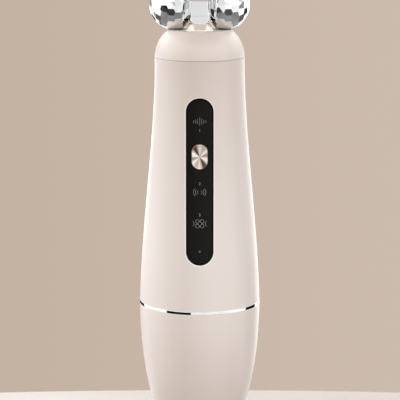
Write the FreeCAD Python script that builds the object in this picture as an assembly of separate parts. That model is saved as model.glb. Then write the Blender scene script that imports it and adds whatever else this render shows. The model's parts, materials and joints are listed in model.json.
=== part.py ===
import FreeCAD, Part
import math
import os

Vector = FreeCAD.Vector

# Outer form of the handle, from the floor up
grip_radius = 24.0
flank_radius = 23.2
neck_radius = 17.7
tail_bulge_radius = 20.6
foot_radius = 15.8
tail_height = 51.4
ring_height = 1.2
body_height = 97.5
cap_height = 10.8
dome_radius = 13.5
wall = 2.0
floor_thickness = 3.6
roof_thickness = 4.0
foot_round = 3.5
crown_round = 1.0
rim_round = 0.4
seam_gap = 0.15
seam_round = 0.3
ring_proud = 0.05
ring_round = 0.15

# Shares of a stretch at which the handles of its curve sit
body_handle_share = 1 / 3
tail_upper_share = 0.41
tail_lower_share = 0.27

# Spigots that join the three shells, and their seals
collar_height = 4.0
collar_wall = 1.8
collar_gap = 0.25
collar_root = 1.5
seal_thickness = 1.4
seal_share = 0.5
seal_groove_slack = 0.1

# Base pad and charging inlet
pad_radius = 12.0
pad_thickness = 1.3
pad_proud = 0.6
pad_round = 0.4
port_height = 15.0
port_width = 8.94
port_rise = 3.26
port_depth = 7.4
port_skin = 0.3
port_back = 1.2
port_fit = 0.15
port_recess_width = 12.6
port_recess_rise = 6.8
port_inset = 1.0
tongue_width = 6.69
tongue_rise = 0.7
tongue_short = 0.8
charge_board_width = 14.0
charge_board_thickness = 1.2
charge_board_inner = 5.0
charge_board_outer = 15.0
charge_boss_radius = 2.2
charge_screw_reach = 5.2
charge_screw_back = 7.4

# Control panel, button and light pipe
panel_width = 10.5
panel_length = 64.8
panel_lift = 2.12
panel_thickness = 1.0
panel_proud = 0.05
panel_fit = 0.12
panel_ledge = 1.5
button_width = 6.3
button_length = 9.9
button_rise = 9.95
button_proud = 1.0
button_crown = 0.35
button_gap = 0.2
button_travel = 0.6
button_flange = 1.0
button_flange_thickness = 1.0
button_skirt = 4.5
button_stem_radius = 1.5
pipe_radius = 0.4
pipe_inset = 5.45
pipe_flange_radius = 1.5
pipe_flange_thickness = 0.8

# Roller head
pillar_half_width = 3.9
pillar_half_depth = 5.75
pillar_narrowing = 0.3
pillar_slant = 0.06
pillar_bevel = 0.55
pillar_low_band = 3.1
pillar_foot_half_width = 2.85
pillar_corner = 1.25
pillar_high_band = 0.65
pillar_shoulder = 1.2
pillar_crown = 3.6
stalk_height = 2.5
flare_top_radius = 6.4
flare_top_half_width = 3.95
saddle_radius = 8.9
saddle_half_width = 5.4
saddle_thickness = 0.35
saddle_round = 0.2
axle_rise = 10.1
roller_offset = 9.2
roller_radius = 10.6
roller_end_gap = 0.3
running_gap = 0.3
facet_share = 0.986
pole_share = 0.976
facets_around = 24
facet_rows = 7
facet_first_angle = -20.5
facet_row_angle = 15.5
end_flat_radius = 6.9
end_facet_angle = -54.0
end_facets = 16
grind_block_share = 4
axle_radius = 1.5
axle_inset = 0.6
axle_tip = 4.6
bush_radius = 3.0
bush_length = 3.4
bush_running_fit = 0.05
outer_bush_start = 0.9
bore_end = 5.2
clip_radius = 2.4
clip_thickness = 0.6
clip_groove = 0.4
pin_radius = 0.7
pin_offset = 1.9
pin_tail = 2.0

# Screws
screw_radius = 1.0
screw_head_radius = 1.9
screw_head_height = 1.3
screw_clear = 0.15
screw_bite = 6.0
bracket_screw_back = 3.6
cap_screw_angle = 36.66
cap_boss_radius = 2.5
cap_boss_gap = 0.43
tail_screw_reach = 8.0
tail_screw_back = -3.0
leg_radius = 2.6

# Inner frame and what it carries
spine_margin = 0.5
spine_front = -4.0
spine_thickness = 2.0
bulkhead_thickness = 2.0
bulkhead_gap = 0.3
shelf_half_width = 8.0
shelf_thickness = 2.0
cell_radius = 9.1
cell_length = 65.0
cell_low = 26.0
cell_back = 7.5
cell_fit = 0.15
cradle_wall = 1.3
cradle_height = 6.0
cradle_inset = 9.0
tab_thickness = 0.4
tab_half_width = 3.0
board_side_gap = 2.8
board_thickness = 1.6
board_low_gap = 4.4
board_high_gap = 7.4
standoff_length = 3.0
standoff_radius = 2.2
board_screw_inset = 3.0
chip_half = 4.5
chip_height = 1.2
chip_gap = 2.5
coil_half_width = 6.0
coil_half_length = 5.0
coil_height = 6.0
plug_half_width = 2.5
plug_half_length = 2.2
plug_height = 4.0
plug_inset = 4.0
lower_plug_inset = 8.2
lower_plug_aside = 7.6
lamp_half = 1.0
lamp_height = 0.8
switch_half = 3.1
switch_height = 3.4
plunger_radius = 1.7
plunger_fit = 0.1
plunger_seat = 1.6
motor_radius = 6.0
motor_length = 20.0
motor_room_share = 0.616
motor_back = 5.0
sleeve_wall = 0.8
cup_wall = 1.2
cup_share = 0.75
shaft_radius = 0.75
shaft_fit = 0.05
shaft_sunk = 4.0
weight_radius = 5.0
weight_height = 6.0
weight_gap = 0.8
weight_hub_radius = 2.0

# Lead wires inside the handle
lead_radius = 0.5
lead_reach = 1.5
lead_hole_radius = 3.0
motor_lead_drop = 3.0
battery_lead_rise = 1.5
lead_sunk = 1.0
electrode_lead_back = -8.5
electrode_lead_bend = 3.0
charge_lead_rise = 4.0
charge_lead_bend = 8.0

# Every cut runs this far past the face it opens
overrun = 1.0
match_tolerance = 0.001

# Heights and stations that follow from the sizes above
base_level = pad_proud
ring_bottom = tail_height
ring_top = ring_bottom + ring_height
seam_level = ring_top + body_height
cap_low = seam_level + seam_gap
cap_top = cap_low + cap_height
ceiling_level = cap_top - roof_thickness
axle_level = cap_top + axle_rise
dome_centre = neck_radius - dome_radius
roller_end = pillar_half_width + roller_end_gap
spine_back = spine_front + spine_thickness
board_back = spine_front - standoff_length
board_front = board_back - board_thickness
lower_bulkhead = ring_top + collar_height
upper_bulkhead = seam_level - collar_height - bulkhead_thickness
board_low = lower_bulkhead + bulkhead_thickness + board_low_gap
board_top = upper_bulkhead - board_high_gap
panel_height = ring_top + body_height / 2 + panel_lift
button_height = panel_height + button_rise
pipe_height = panel_height - panel_length / 2 + pipe_inset
cell_top = cell_low + cell_length + tab_thickness
motor_stack = cup_wall + motor_length + weight_gap + weight_height
motor_low = cell_top + (upper_bulkhead - cell_top - motor_stack) * motor_room_share + cup_wall
shelf_level = cell_low - tab_thickness - shelf_thickness
floor_level = base_level + floor_thickness
screw_seat = pad_thickness + screw_head_height
motor_lead_level = motor_low - motor_lead_drop
battery_lead_level = cell_top + battery_lead_rise


def station(radius, height):
    return Vector(radius, 0, height)


def line(start, end):
    return Part.makeLine(station(*start), station(*end))


def bezier(points):
    curve = Part.BezierCurve()
    curve.setPoles([station(*point) for point in points])
    return curve.toShape()


def lathe(edges):
    face = Part.Face(Part.Wire(edges))
    return face.revolve(Vector(0, 0, 0), Vector(0, 0, 1), 360)


def lathe_polygon(points):
    ends = points[1:] + points[:1]
    return lathe([line(start, end) for start, end in zip(points, ends)])


def rod(radius, low, high, x=0, y=0):
    return Part.makeCylinder(radius, high - low, Vector(x, y, low))


def rod_along_x(radius, start, end, y, z):
    return Part.makeCylinder(radius, end - start, Vector(start, y, z), Vector(1, 0, 0))


def rod_along_y(radius, start, end, x, z):
    return Part.makeCylinder(radius, end - start, Vector(x, start, z), Vector(0, 1, 0))


def tube(outer, inner, low, high, x=0, y=0):
    return rod(outer, low, high, x, y).cut(rod(inner, low - overrun, high + overrun, x, y))


def block(x_low, x_high, y_low, y_high, z_low, z_high):
    return Part.makeBox(x_high - x_low, y_high - y_low, z_high - z_low, Vector(x_low, y_low, z_low))


def slot(half_x, half_z, centre_z, start, end):
    """Round-ended bar along Y, long in X or in Z."""
    radius = min(half_x, half_z)
    reach_x = half_x - radius
    reach_z = half_z - radius
    bar = rod_along_y(radius, start, end, -reach_x, centre_z - reach_z)
    bar = bar.fuse(rod_along_y(radius, start, end, reach_x, centre_z + reach_z))
    if reach_x > reach_z:
        middle = block(-reach_x, reach_x, start, end, centre_z - radius, centre_z + radius)
    else:
        middle = block(-radius, radius, start, end, centre_z - reach_z, centre_z + reach_z)
    return bar.fuse(middle).removeSplitter()


def both_sides(shape):
    """A piece on the right and its twin turned half a turn about the upright axis."""
    twin = shape.copy()
    twin.rotate(Vector(0, 0, 0), Vector(0, 0, 1), 180)
    return [shape, twin]


def rim(shape, radius, height):
    """Circular edges of a turned piece at one radius and height."""
    found = []
    for edge in shape.Edges:
        if not isinstance(edge.Curve, Part.Circle):
            continue
        near_height = abs(edge.Curve.Center.z - height) < match_tolerance
        near_radius = abs(edge.Curve.Radius - radius) < match_tolerance
        if near_height and near_radius:
            found.append(edge)
    return found


def body_curve(offset):
    reach = body_height * body_handle_share
    return bezier([
        (neck_radius + offset, seam_level),
        (neck_radius + offset, seam_level - reach),
        (flank_radius + offset, ring_top + reach),
        (grip_radius + offset, ring_top),
    ])


def body_band(outer, inner):
    """Turned sleeve between two copies of the body's flank curve."""
    return lathe([
        body_curve(outer),
        line((grip_radius + outer, ring_top), (grip_radius + inner, ring_top)),
        body_curve(inner),
        line((neck_radius + inner, seam_level), (neck_radius + outer, seam_level)),
    ])


def body_radius(height):
    """Outer radius of the body at a height, from its flank curve."""
    share = (seam_level - height) / body_height
    rest = 1 - share
    narrow = rest ** 3 + 3 * rest ** 2 * share
    return neck_radius * narrow + flank_radius * 3 * rest * share ** 2 + grip_radius * share ** 3


def tail_curve(offset, low):
    span = ring_bottom - base_level
    return bezier([
        (grip_radius + offset, ring_bottom),
        (grip_radius + offset, ring_bottom - span * tail_upper_share),
        (tail_bulge_radius + offset, base_level + span * tail_lower_share),
        (foot_radius + offset, low),
    ])


def tail_radius(height):
    """Outer radius of the tail at a height, found along its curve."""
    spread = tail_curve(0, base_level)
    level = Part.makeLine(station(0, height), station(grip_radius + overrun, height))
    return spread.distToShape(level)[1][0][0].x


def dome_arc(radius, top):
    """Arc of the cap's shoulder, from the flat top down to the seam."""
    rise = top - cap_low
    start_angle = math.asin(rise / radius)
    ends = []
    for angle in (start_angle, start_angle / 2, 0):
        ends.append(station(dome_centre + radius * math.cos(angle), cap_low + radius * math.sin(angle)))
    return Part.Arc(*ends).toShape()


def roller_room(gap):
    """Space one right-hand roller sweeps, grown by a gap."""
    ball = Part.makeSphere(roller_radius + gap, Vector(roller_offset, 0, axle_level))
    start = roller_end - gap
    narrow = end_flat_radius + gap
    wide = roller_radius + gap + overrun
    slope = math.tan(math.radians(-end_facet_angle))
    cone_end = start + (wide - narrow) / slope
    cone = Part.makeCone(narrow, wide, cone_end - start, Vector(start, 0, axle_level), Vector(1, 0, 0))
    barrel = rod_along_x(wide, cone_end, roller_offset + wide, 0, axle_level)
    return ball.common(cone.fuse(barrel))


def screw(head_level, x, y, length, way):
    """Pan-head screw along Z with its head's inner face at head_level."""
    if way > 0:
        head = rod(screw_head_radius, head_level - screw_head_height, head_level, x, y)
        shank = rod(screw_radius, head_level, head_level + length, x, y)
    else:
        head = rod(screw_head_radius, head_level, head_level + screw_head_height, x, y)
        shank = rod(screw_radius, head_level - length, head_level, x, y)
    return head.fuse(shank)


def seal_ring(outer, level):
    middle = outer - seal_thickness / 2
    return Part.makeTorus(middle, seal_thickness / 2, Vector(0, 0, level), Vector(0, 0, 1))


def seal_groove(outer, level):
    half = seal_thickness / 2 + seal_groove_slack
    inner = outer - seal_thickness - seal_groove_slack
    return tube(outer + overrun, inner, level - half, level + half)


def collar(outer, root_radius, root_far, root_near, tip):
    """Spigot ring: its root joins one shell and its tip enters the next."""
    return lathe_polygon([
        (outer - collar_wall, root_far),
        (outer - collar_wall, tip),
        (outer, tip),
        (outer, root_near),
        (root_radius, root_near),
        (root_radius, root_far),
    ])


def tail_collar_radius():
    narrowest = min(grip_radius, body_radius(ring_top + collar_height))
    return narrowest - wall - collar_gap


def neck_collar_radius():
    return neck_radius - wall - collar_gap


def cap_screw_spot(side):
    """Place of one cap screw, on a circle inside the neck's spigot."""
    circle = neck_collar_radius() - collar_wall - cap_boss_gap - cap_boss_radius
    angle = math.radians(cap_screw_angle)
    return side * circle * math.cos(angle), circle * math.sin(angle)


def board_half_width():
    """Half the width that the main board can have at its narrow upper end."""
    room = body_radius(board_top) - wall
    return math.sqrt(room ** 2 - board_front ** 2) - board_side_gap


def tail_seal_level():
    return ring_top + collar_height / 2


def neck_seal_level():
    return seam_level - collar_height / 2


def port_face():
    return tail_radius(port_height) - port_inset


def charge_board_low():
    return port_height - port_rise / 2 - charge_board_thickness


def tail_cup():
    shell = lathe([
        tail_curve(0, base_level),
        line((foot_radius, base_level), (0, base_level)),
        line((0, base_level), (0, ring_bottom)),
        line((0, ring_bottom), (grip_radius, ring_bottom)),
    ])
    shell = shell.makeFillet(foot_round, rim(shell, foot_radius, base_level))
    shell = shell.makeFillet(rim_round, rim(shell, grip_radius, ring_bottom))
    hollow = lathe([
        tail_curve(-wall, floor_level),
        line((foot_radius - wall, floor_level), (0, floor_level)),
        line((0, floor_level), (0, ring_bottom + overrun)),
        line((0, ring_bottom + overrun), (grip_radius - wall, ring_bottom + overrun)),
        line((grip_radius - wall, ring_bottom + overrun), (grip_radius - wall, ring_bottom)),
    ])
    shell = shell.cut(hollow)
    spigot = tail_collar_radius()
    root_radius = grip_radius - wall / 2
    root = collar(spigot, root_radius, ring_bottom - collar_root, ring_bottom, ring_top + collar_height)
    shell = shell.fuse(root)
    shell = shell.cut(seal_groove(spigot, tail_seal_level()))
    shell = shell.cut(rod(pad_radius, base_level - overrun, base_level + pad_thickness - pad_proud))
    for side in (1, -1):
        shell = tail_fixings(shell, side)
    face = port_face()
    far = grip_radius + overrun
    shell = shell.cut(slot(port_recess_width / 2, port_recess_rise / 2, port_height, face, far))
    hole_x = port_width / 2 + port_fit
    hole_z = port_rise / 2 + port_fit
    shell = shell.cut(slot(hole_x, hole_z, port_height, face - port_depth, far))
    return shell.removeSplitter()


def tail_fixings(shell, side):
    """Screw hole and board post on one side of the tail's floor."""
    x = side * tail_screw_reach
    below = base_level - overrun
    shank_room = screw_radius + screw_clear
    head_room = screw_head_radius + screw_clear
    shell = shell.cut(rod(shank_room, below, floor_level + overrun, x, tail_screw_back))
    shell = shell.cut(rod(head_room, below, screw_seat, x, tail_screw_back))
    post_x = side * charge_screw_reach
    top = charge_board_low()
    post = rod(charge_boss_radius, floor_level - wall / 2, top, post_x, charge_screw_back)
    hole = rod(screw_radius, top - screw_bite, top + overrun, post_x, charge_screw_back)
    return shell.fuse(post).cut(hole)


def base_pad():
    pad = rod(pad_radius, 0, pad_thickness)
    return pad.makeFillet(pad_round, rim(pad, pad_radius, 0))


def trim_ring():
    outer = grip_radius + ring_proud
    inner = grip_radius - wall
    ring = tube(outer, inner, ring_bottom, ring_top)
    edges = rim(ring, outer, ring_bottom) + rim(ring, outer, ring_top)
    return ring.makeFillet(ring_round, edges)


def body_shell():
    shell = body_band(0, -wall)
    shell = shell.makeFillet(seam_round, rim(shell, neck_radius, seam_level))
    front = -grip_radius - overrun
    half_width = panel_width / 2
    half_length = panel_length / 2
    seat = slot(half_width + panel_fit, half_length + panel_fit, panel_height, front, 0)
    shell = shell.cut(seat.common(body_band(overrun, -panel_thickness)))
    window = slot(half_width - panel_ledge, half_length - panel_ledge, panel_height, front, 0)
    return shell.cut(window)


def neck_cap():
    flat = dome_centre + math.sqrt(dome_radius ** 2 - cap_height ** 2)
    cap = lathe([
        dome_arc(dome_radius, cap_top),
        line((neck_radius, cap_low), (0, cap_low)),
        line((0, cap_low), (0, cap_top)),
        line((0, cap_top), (flat, cap_top)),
    ])
    cap = cap.makeFillet(crown_round, rim(cap, flat, cap_top))
    cap = cap.makeFillet(seam_round, rim(cap, neck_radius, cap_low))
    inner = dome_radius - wall
    inner_flat = dome_centre + math.sqrt(inner ** 2 - (ceiling_level - cap_low) ** 2)
    hollow = lathe([
        dome_arc(inner, ceiling_level),
        line((neck_radius - wall, cap_low), (neck_radius - wall, cap_low - overrun)),
        line((neck_radius - wall, cap_low - overrun), (0, cap_low - overrun)),
        line((0, cap_low - overrun), (0, ceiling_level)),
        line((0, ceiling_level), (inner_flat, ceiling_level)),
    ])
    cap = cap.cut(hollow)
    spigot = neck_collar_radius()
    root_radius = neck_radius - wall / 2
    cap = cap.fuse(collar(spigot, root_radius, cap_low + collar_root, cap_low, seam_level - collar_height))
    cap = cap.cut(seal_groove(spigot, neck_seal_level()))
    for side in (1, -1):
        cap = cap_fixings(cap, side)
    for room in both_sides(roller_room(running_gap)):
        cap = cap.cut(room)
    return cap.removeSplitter()


def cap_fixings(cap, side):
    """Boss, screw holes and contact hole on one side of the cap."""
    x, y = cap_screw_spot(side)
    low = seam_level - collar_height
    cap = cap.fuse(rod(cap_boss_radius, low, ceiling_level + overrun, x, y))
    cap = cap.cut(rod(screw_radius, low - overrun, low + screw_bite, x, y))
    back = side * bracket_screw_back
    cap = cap.cut(rod(screw_radius + screw_clear, ceiling_level - overrun, cap_top + overrun, 0, back))
    return cap.cut(rod(pin_radius, ceiling_level - overrun, cap_top + overrun, side * pin_offset))


def control_panel():
    front = -grip_radius - overrun
    plate = slot(panel_width / 2, panel_length / 2, panel_height, front, 0)
    plate = plate.common(body_band(panel_proud, -panel_thickness))
    hole = slot(button_width / 2 + button_gap, button_length / 2 + button_gap, button_height, front, 0)
    plate = plate.cut(hole)
    return plate.cut(rod_along_y(pipe_radius, front, 0, 0, pipe_height))


def button_face():
    return -body_radius(button_height) - panel_proud - button_proud


def power_button():
    face = button_face()
    skirt_end = face + button_skirt
    cap = slot(button_width / 2, button_length / 2, button_height, face, skirt_end)
    rim_edges = []
    for edge in cap.Edges:
        if abs(edge.CenterOfMass.y - face) < match_tolerance:
            rim_edges.append(edge)
    cap = cap.makeFillet(button_crown, rim_edges)
    flange_x = button_width / 2 + button_flange
    flange_z = button_length / 2 + button_flange
    flange_end = skirt_end + button_flange_thickness
    flange = slot(flange_x, flange_z, button_height, skirt_end, flange_end)
    stem = rod_along_y(button_stem_radius, skirt_end, plunger_tip(), 0, button_height)
    return cap.fuse(flange).fuse(stem).removeSplitter()


def switch_front():
    return board_front - switch_height


def plunger_tip():
    return switch_front() - button_travel - running_gap


def switch_plunger():
    end = switch_front() + plunger_seat - button_travel
    return rod_along_y(plunger_radius, plunger_tip(), end, 0, button_height)


def switch_body():
    low = button_height - switch_half
    high = button_height + switch_half
    body = block(-switch_half, switch_half, switch_front(), board_front, low, high)
    bore = plunger_radius + plunger_fit
    depth = plunger_seat + running_gap
    return body.cut(rod_along_y(bore, switch_front() - overrun, switch_front() + depth, 0, button_height))


def light_pipe():
    face = -body_radius(pipe_height) - panel_proud
    seat = face + panel_proud + panel_thickness + panel_fit
    end = board_front - lamp_height - running_gap
    pipe = rod_along_y(pipe_radius, face, end, 0, pipe_height)
    flange = rod_along_y(pipe_flange_radius, seat, seat + pipe_flange_thickness, 0, pipe_height)
    return pipe.fuse(flange)


def pillar_section(half_width, half_depth, height):
    """Oblong with four bevelled corners at one level of the pillar."""
    inner_x = half_width - pillar_bevel
    inner_y = half_depth - pillar_bevel
    corners = [
        Vector(half_width, -inner_y, height), Vector(half_width, inner_y, height),
        Vector(inner_x, half_depth, height), Vector(-inner_x, half_depth, height),
        Vector(-half_width, inner_y, height), Vector(-half_width, -inner_y, height),
        Vector(-inner_x, -half_depth, height), Vector(inner_x, -half_depth, height),
    ]
    return Part.makePolygon(corners + corners[:1])


def pillar_roof():
    """Space under the pillar's round crown, open on all sides below its shoulder."""
    shoulder = axle_level + pillar_shoulder
    edge_depth = pillar_half_depth - pillar_slant
    reach = pillar_half_depth + overrun
    left = Vector(0, -edge_depth, shoulder)
    right = Vector(0, edge_depth, shoulder)
    crown = Part.Arc(left, Vector(0, 0, axle_level + pillar_crown), right).toShape()
    corners = [right, Vector(0, reach, shoulder), Vector(0, reach, cap_top)]
    corners += [Vector(0, -reach, cap_top), Vector(0, -reach, shoulder), left]
    edges = [Part.makeLine(a, b) for a, b in zip(corners[:-1], corners[1:])]
    face = Part.Face(Part.Wire([crown] + edges))
    face.translate(Vector(-pillar_half_width - overrun, 0, 0))
    return face.extrude(Vector(2 * (pillar_half_width + overrun), 0, 0))


def pillar():
    """Post with cut lower corners, slightly narrower above, its faces broken into three flats."""
    low = cap_top + stalk_height
    corner_share = pillar_corner / pillar_low_band
    narrow = pillar_half_width - pillar_narrowing
    shallow = pillar_half_depth - pillar_slant
    levels = [
        (pillar_foot_half_width, shallow, low),
        (pillar_half_width, shallow + pillar_slant * corner_share, low + pillar_corner),
        (pillar_half_width, pillar_half_depth, low + pillar_low_band),
        (narrow, pillar_half_depth, axle_level - pillar_high_band),
        (narrow, shallow, axle_level + pillar_shoulder),
        (narrow, shallow, axle_level + pillar_crown + overrun),
    ]
    sections = [pillar_section(*level) for level in levels]
    post = Part.makeLoft(sections, True, True)
    return post.common(pillar_roof())


def stalk():
    """Flared foot that carries the pillar: part of a cone with slanting flats, on a thin saddle."""
    low = cap_top + saddle_thickness
    top = cap_top + stalk_height
    flare = Part.makeCone(saddle_radius - saddle_round, flare_top_radius, top - low, Vector(0, 0, low))
    flats = [
        (saddle_half_width - saddle_round, low),
        (flare_top_half_width, top),
    ]
    corners = [Vector(width, 0, height) for width, height in flats]
    corners += [Vector(-width, 0, height) for width, height in reversed(flats)]
    wedge = Part.Face(Part.makePolygon(corners + corners[:1]))
    wedge.translate(Vector(0, -saddle_radius, 0))
    flare = flare.common(wedge.extrude(Vector(0, 2 * saddle_radius, 0)))
    saddle = rod(saddle_radius, cap_top, low)
    reach = saddle_radius + overrun
    saddle = saddle.common(block(-saddle_half_width, saddle_half_width, -reach, reach, cap_top, low))
    level = low - match_tolerance
    saddle = saddle.makeFillet(saddle_round, [edge for edge in saddle.Edges if edge.BoundBox.ZMin > level])
    return flare.fuse(saddle)


def roller_bracket():
    bracket = stalk().fuse(pillar()).removeSplitter()
    for room in both_sides(roller_room(running_gap)):
        bracket = bracket.cut(room)
    for hole in both_sides(rod_along_x(axle_radius, axle_inset, roller_end + overrun, 0, axle_level)):
        bracket = bracket.cut(hole)
    for side in (1, -1):
        bite = cap_top + screw_bite
        bracket = bracket.cut(rod(screw_radius, cap_top - overrun, bite, 0, side * bracket_screw_back))
        bracket = bracket.cut(rod(pin_radius, cap_top - overrun, axle_level, side * pin_offset))
    return bracket


def clip_start():
    return roller_end + bush_length + running_gap


def roller_axle():
    start = clip_start()
    end = start + clip_thickness
    axle = rod_along_x(axle_radius, axle_inset, roller_offset + axle_tip, 0, axle_level)
    groove = rod_along_x(axle_radius + overrun, start, end, 0, axle_level)
    core = rod_along_x(axle_radius - clip_groove, start, end, 0, axle_level)
    return axle.cut(groove.cut(core))


def axle_clip():
    start = clip_start()
    end = start + clip_thickness
    clip = rod_along_x(clip_radius, start, end, 0, axle_level)
    hole = rod_along_x(axle_radius - clip_groove, start - overrun, end + overrun, 0, axle_level)
    return clip.cut(hole)


def electrode_pin():
    pin = rod(pin_radius, ceiling_level - pin_tail, axle_level, pin_offset)
    return pin.cut(rod_along_x(axle_radius, axle_inset, roller_end, 0, axle_level))


def grind(ball, normal, distance):
    """Grind one flat on a ball: everything past a plane comes off."""
    size = grind_block_share * roller_radius
    waste = Part.makeBox(size, size, size, Vector(-size / 2, -size / 2, 0))
    turn = FreeCAD.Rotation(Vector(0, 0, 1), normal)
    waste.Placement = FreeCAD.Placement(normal * distance, turn)
    return ball.cut(waste)


def facet_normal(tilt, turn):
    """Direction tilted from the ball's girdle towards X and turned about X."""
    across = math.cos(tilt)
    return Vector(math.sin(tilt), across * math.cos(turn), across * math.sin(turn))


def faceted_ball():
    """Ball ground with staggered rows of flats about X and a blunt faceted end."""
    reach = roller_radius
    end = roller_end - roller_offset
    ball = block(end, roller_radius * pole_share, -reach, reach, -reach, reach)
    for row in range(facet_rows):
        tilt = math.radians(facet_first_angle + row * facet_row_angle)
        count = round(facets_around * math.cos(tilt))
        for index in range(count):
            turn = 2 * math.pi * (index + row % 2 / 2) / count
            ball = grind(ball, facet_normal(tilt, turn), roller_radius * facet_share)
    tilt = math.radians(end_facet_angle)
    distance = end * math.sin(tilt) + end_flat_radius * math.cos(tilt)
    for index in range(end_facets):
        turn = 2 * math.pi * index / end_facets
        ball = grind(ball, facet_normal(tilt, turn), distance)
    return ball


def roller(ball):
    bore = rod_along_x(bush_radius, roller_end - roller_offset - overrun, bore_end, 0, 0)
    wheel = ball.cut(bore)
    wheel.translate(Vector(roller_offset, 0, axle_level))
    return wheel


def bush(start):
    end = start + bush_length
    sleeve = rod_along_x(bush_radius, start, end, 0, axle_level)
    bore = rod_along_x(axle_radius + bush_running_fit, start - overrun, end + overrun, 0, axle_level)
    return sleeve.cut(bore)


def bush_pair():
    return [bush(roller_end), bush(roller_offset + outer_bush_start)]


def bracket_screws():
    screws = []
    length = roof_thickness + screw_bite
    for side in (1, -1):
        screws.append(screw(ceiling_level, 0, side * bracket_screw_back, length, 1))
    return screws


def cap_screws():
    screws = []
    length = bulkhead_thickness + screw_bite
    for side in (1, -1):
        x, y = cap_screw_spot(side)
        screws.append(screw(upper_bulkhead, x, y, length, 1))
    return screws


def tail_screws():
    screws = []
    length = floor_level - screw_seat + screw_bite
    for side in (1, -1):
        screws.append(screw(screw_seat, side * tail_screw_reach, tail_screw_back, length, 1))
    return screws


def charge_screws():
    screws = []
    top = charge_board_low() + charge_board_thickness
    for side in (1, -1):
        screws.append(screw(top, side * charge_screw_reach, charge_screw_back, screw_bite, -1))
    return screws


def board_screw_places():
    reach = board_half_width() - board_screw_inset
    places = []
    for height in (board_low + board_screw_inset, board_top - board_screw_inset):
        for side in (1, -1):
            places.append((side * reach, height))
    return places


def board_screws():
    screws = []
    for x, z in board_screw_places():
        head = rod_along_y(screw_head_radius, board_front - screw_head_height, board_front, x, z)
        shank = rod_along_y(screw_radius, board_front, spine_front, x, z)
        screws.append(head.fuse(shank))
    return screws


def chassis():
    half = board_half_width() + spine_margin
    frame = block(-half, half, spine_front, spine_back, shelf_level, upper_bulkhead)
    frame = frame.fuse(lower_disc()).fuse(upper_disc())
    shelf_end = cell_back + shelf_half_width
    shelf_top = shelf_level + shelf_thickness
    shelf = block(-shelf_half_width, shelf_half_width, spine_front, shelf_end, shelf_level, shelf_top)
    frame = frame.fuse(shelf)
    for side in (1, -1):
        x = side * tail_screw_reach
        leg = rod(leg_radius, floor_level, shelf_top, x, tail_screw_back)
        bore = rod(screw_radius, floor_level - overrun, floor_level + screw_bite, x, tail_screw_back)
        frame = frame.fuse(leg).cut(bore)
    cell_room = rod(cell_radius + cell_fit, shelf_top, cell_low + cell_length + overrun, 0, cell_back)
    for low in (cell_low + cradle_inset, cell_low + cell_length - cradle_inset):
        outer = cell_radius + cell_fit + cradle_wall
        band = rod(outer, low, low + cradle_height, 0, cell_back)
        frame = frame.fuse(band)
    frame = frame.cut(cell_room)
    frame = frame.fuse(motor_cup())
    for height in (motor_lead_level, battery_lead_level):
        hole = rod_along_y(lead_hole_radius, spine_front - overrun, spine_back + overrun, 0, height)
        frame = frame.cut(hole)
    for x, z in board_screw_places():
        post = rod_along_y(standoff_radius, board_back, spine_front + spine_thickness / 2, x, z)
        hole = rod_along_y(screw_radius, board_back - overrun, spine_front, x, z)
        frame = frame.fuse(post).cut(hole)
    return frame.removeSplitter()


def lower_disc():
    radius = body_radius(lower_bulkhead + bulkhead_thickness) - wall - bulkhead_gap
    disc = rod(radius, lower_bulkhead, lower_bulkhead + bulkhead_thickness)
    half = board_half_width()
    low = lower_bulkhead - overrun
    high = lower_bulkhead + bulkhead_thickness + overrun
    return disc.cut(block(-half, half, -grip_radius, board_front, low, high))


def upper_disc():
    radius = neck_radius - wall - bulkhead_gap
    below = upper_bulkhead - overrun
    disc = rod(radius, upper_bulkhead, upper_bulkhead + bulkhead_thickness)
    for side in (1, -1):
        x, y = cap_screw_spot(side)
        disc = disc.cut(rod(screw_radius + screw_clear, below, seam_level, x, y))
    return disc.cut(rod(lead_hole_radius, below, seam_level, 0, electrode_lead_back))


def motor_cup():
    inner = motor_radius + sleeve_wall
    low = motor_low - cup_wall
    high = motor_low + motor_length * cup_share
    cup = rod(inner + cup_wall, low, high, 0, motor_back)
    cup = cup.cut(rod(inner, motor_low, high + overrun, 0, motor_back))
    return cup.cut(rod(lead_hole_radius, low - overrun, motor_low + overrun, 0, motor_back))


def motor_sleeve():
    high = motor_low + motor_length * cup_share
    return tube(motor_radius + sleeve_wall, motor_radius, motor_low, high, 0, motor_back)


def motor_can():
    high = motor_low + motor_length
    can = rod(motor_radius, motor_low, high, 0, motor_back)
    bore_low = high - shaft_sunk - running_gap
    return can.cut(rod(shaft_radius + shaft_fit, bore_low, high + overrun, 0, motor_back))


def motor_shaft():
    high = motor_low + motor_length
    return rod(shaft_radius, high - shaft_sunk, high + weight_gap + weight_height, 0, motor_back)


def eccentric_weight():
    low = motor_low + motor_length + weight_gap
    high = low + weight_height
    disc = rod(weight_radius, low, high, 0, motor_back)
    half = block(-weight_radius, weight_radius, motor_back, motor_back + weight_radius, low, high)
    hub = rod(weight_hub_radius, low, high, 0, motor_back)
    weight = disc.common(half).fuse(hub)
    return weight.cut(rod(shaft_radius, low - overrun, high + overrun, 0, motor_back))


def main_board():
    half = board_half_width()
    board = block(-half, half, board_front, board_back, board_low, board_top)
    hole_radius = screw_radius + screw_clear
    for x, z in board_screw_places():
        hole = rod_along_y(hole_radius, board_front - overrun, board_back + overrun, x, z)
        board = board.cut(hole)
    return board


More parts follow.
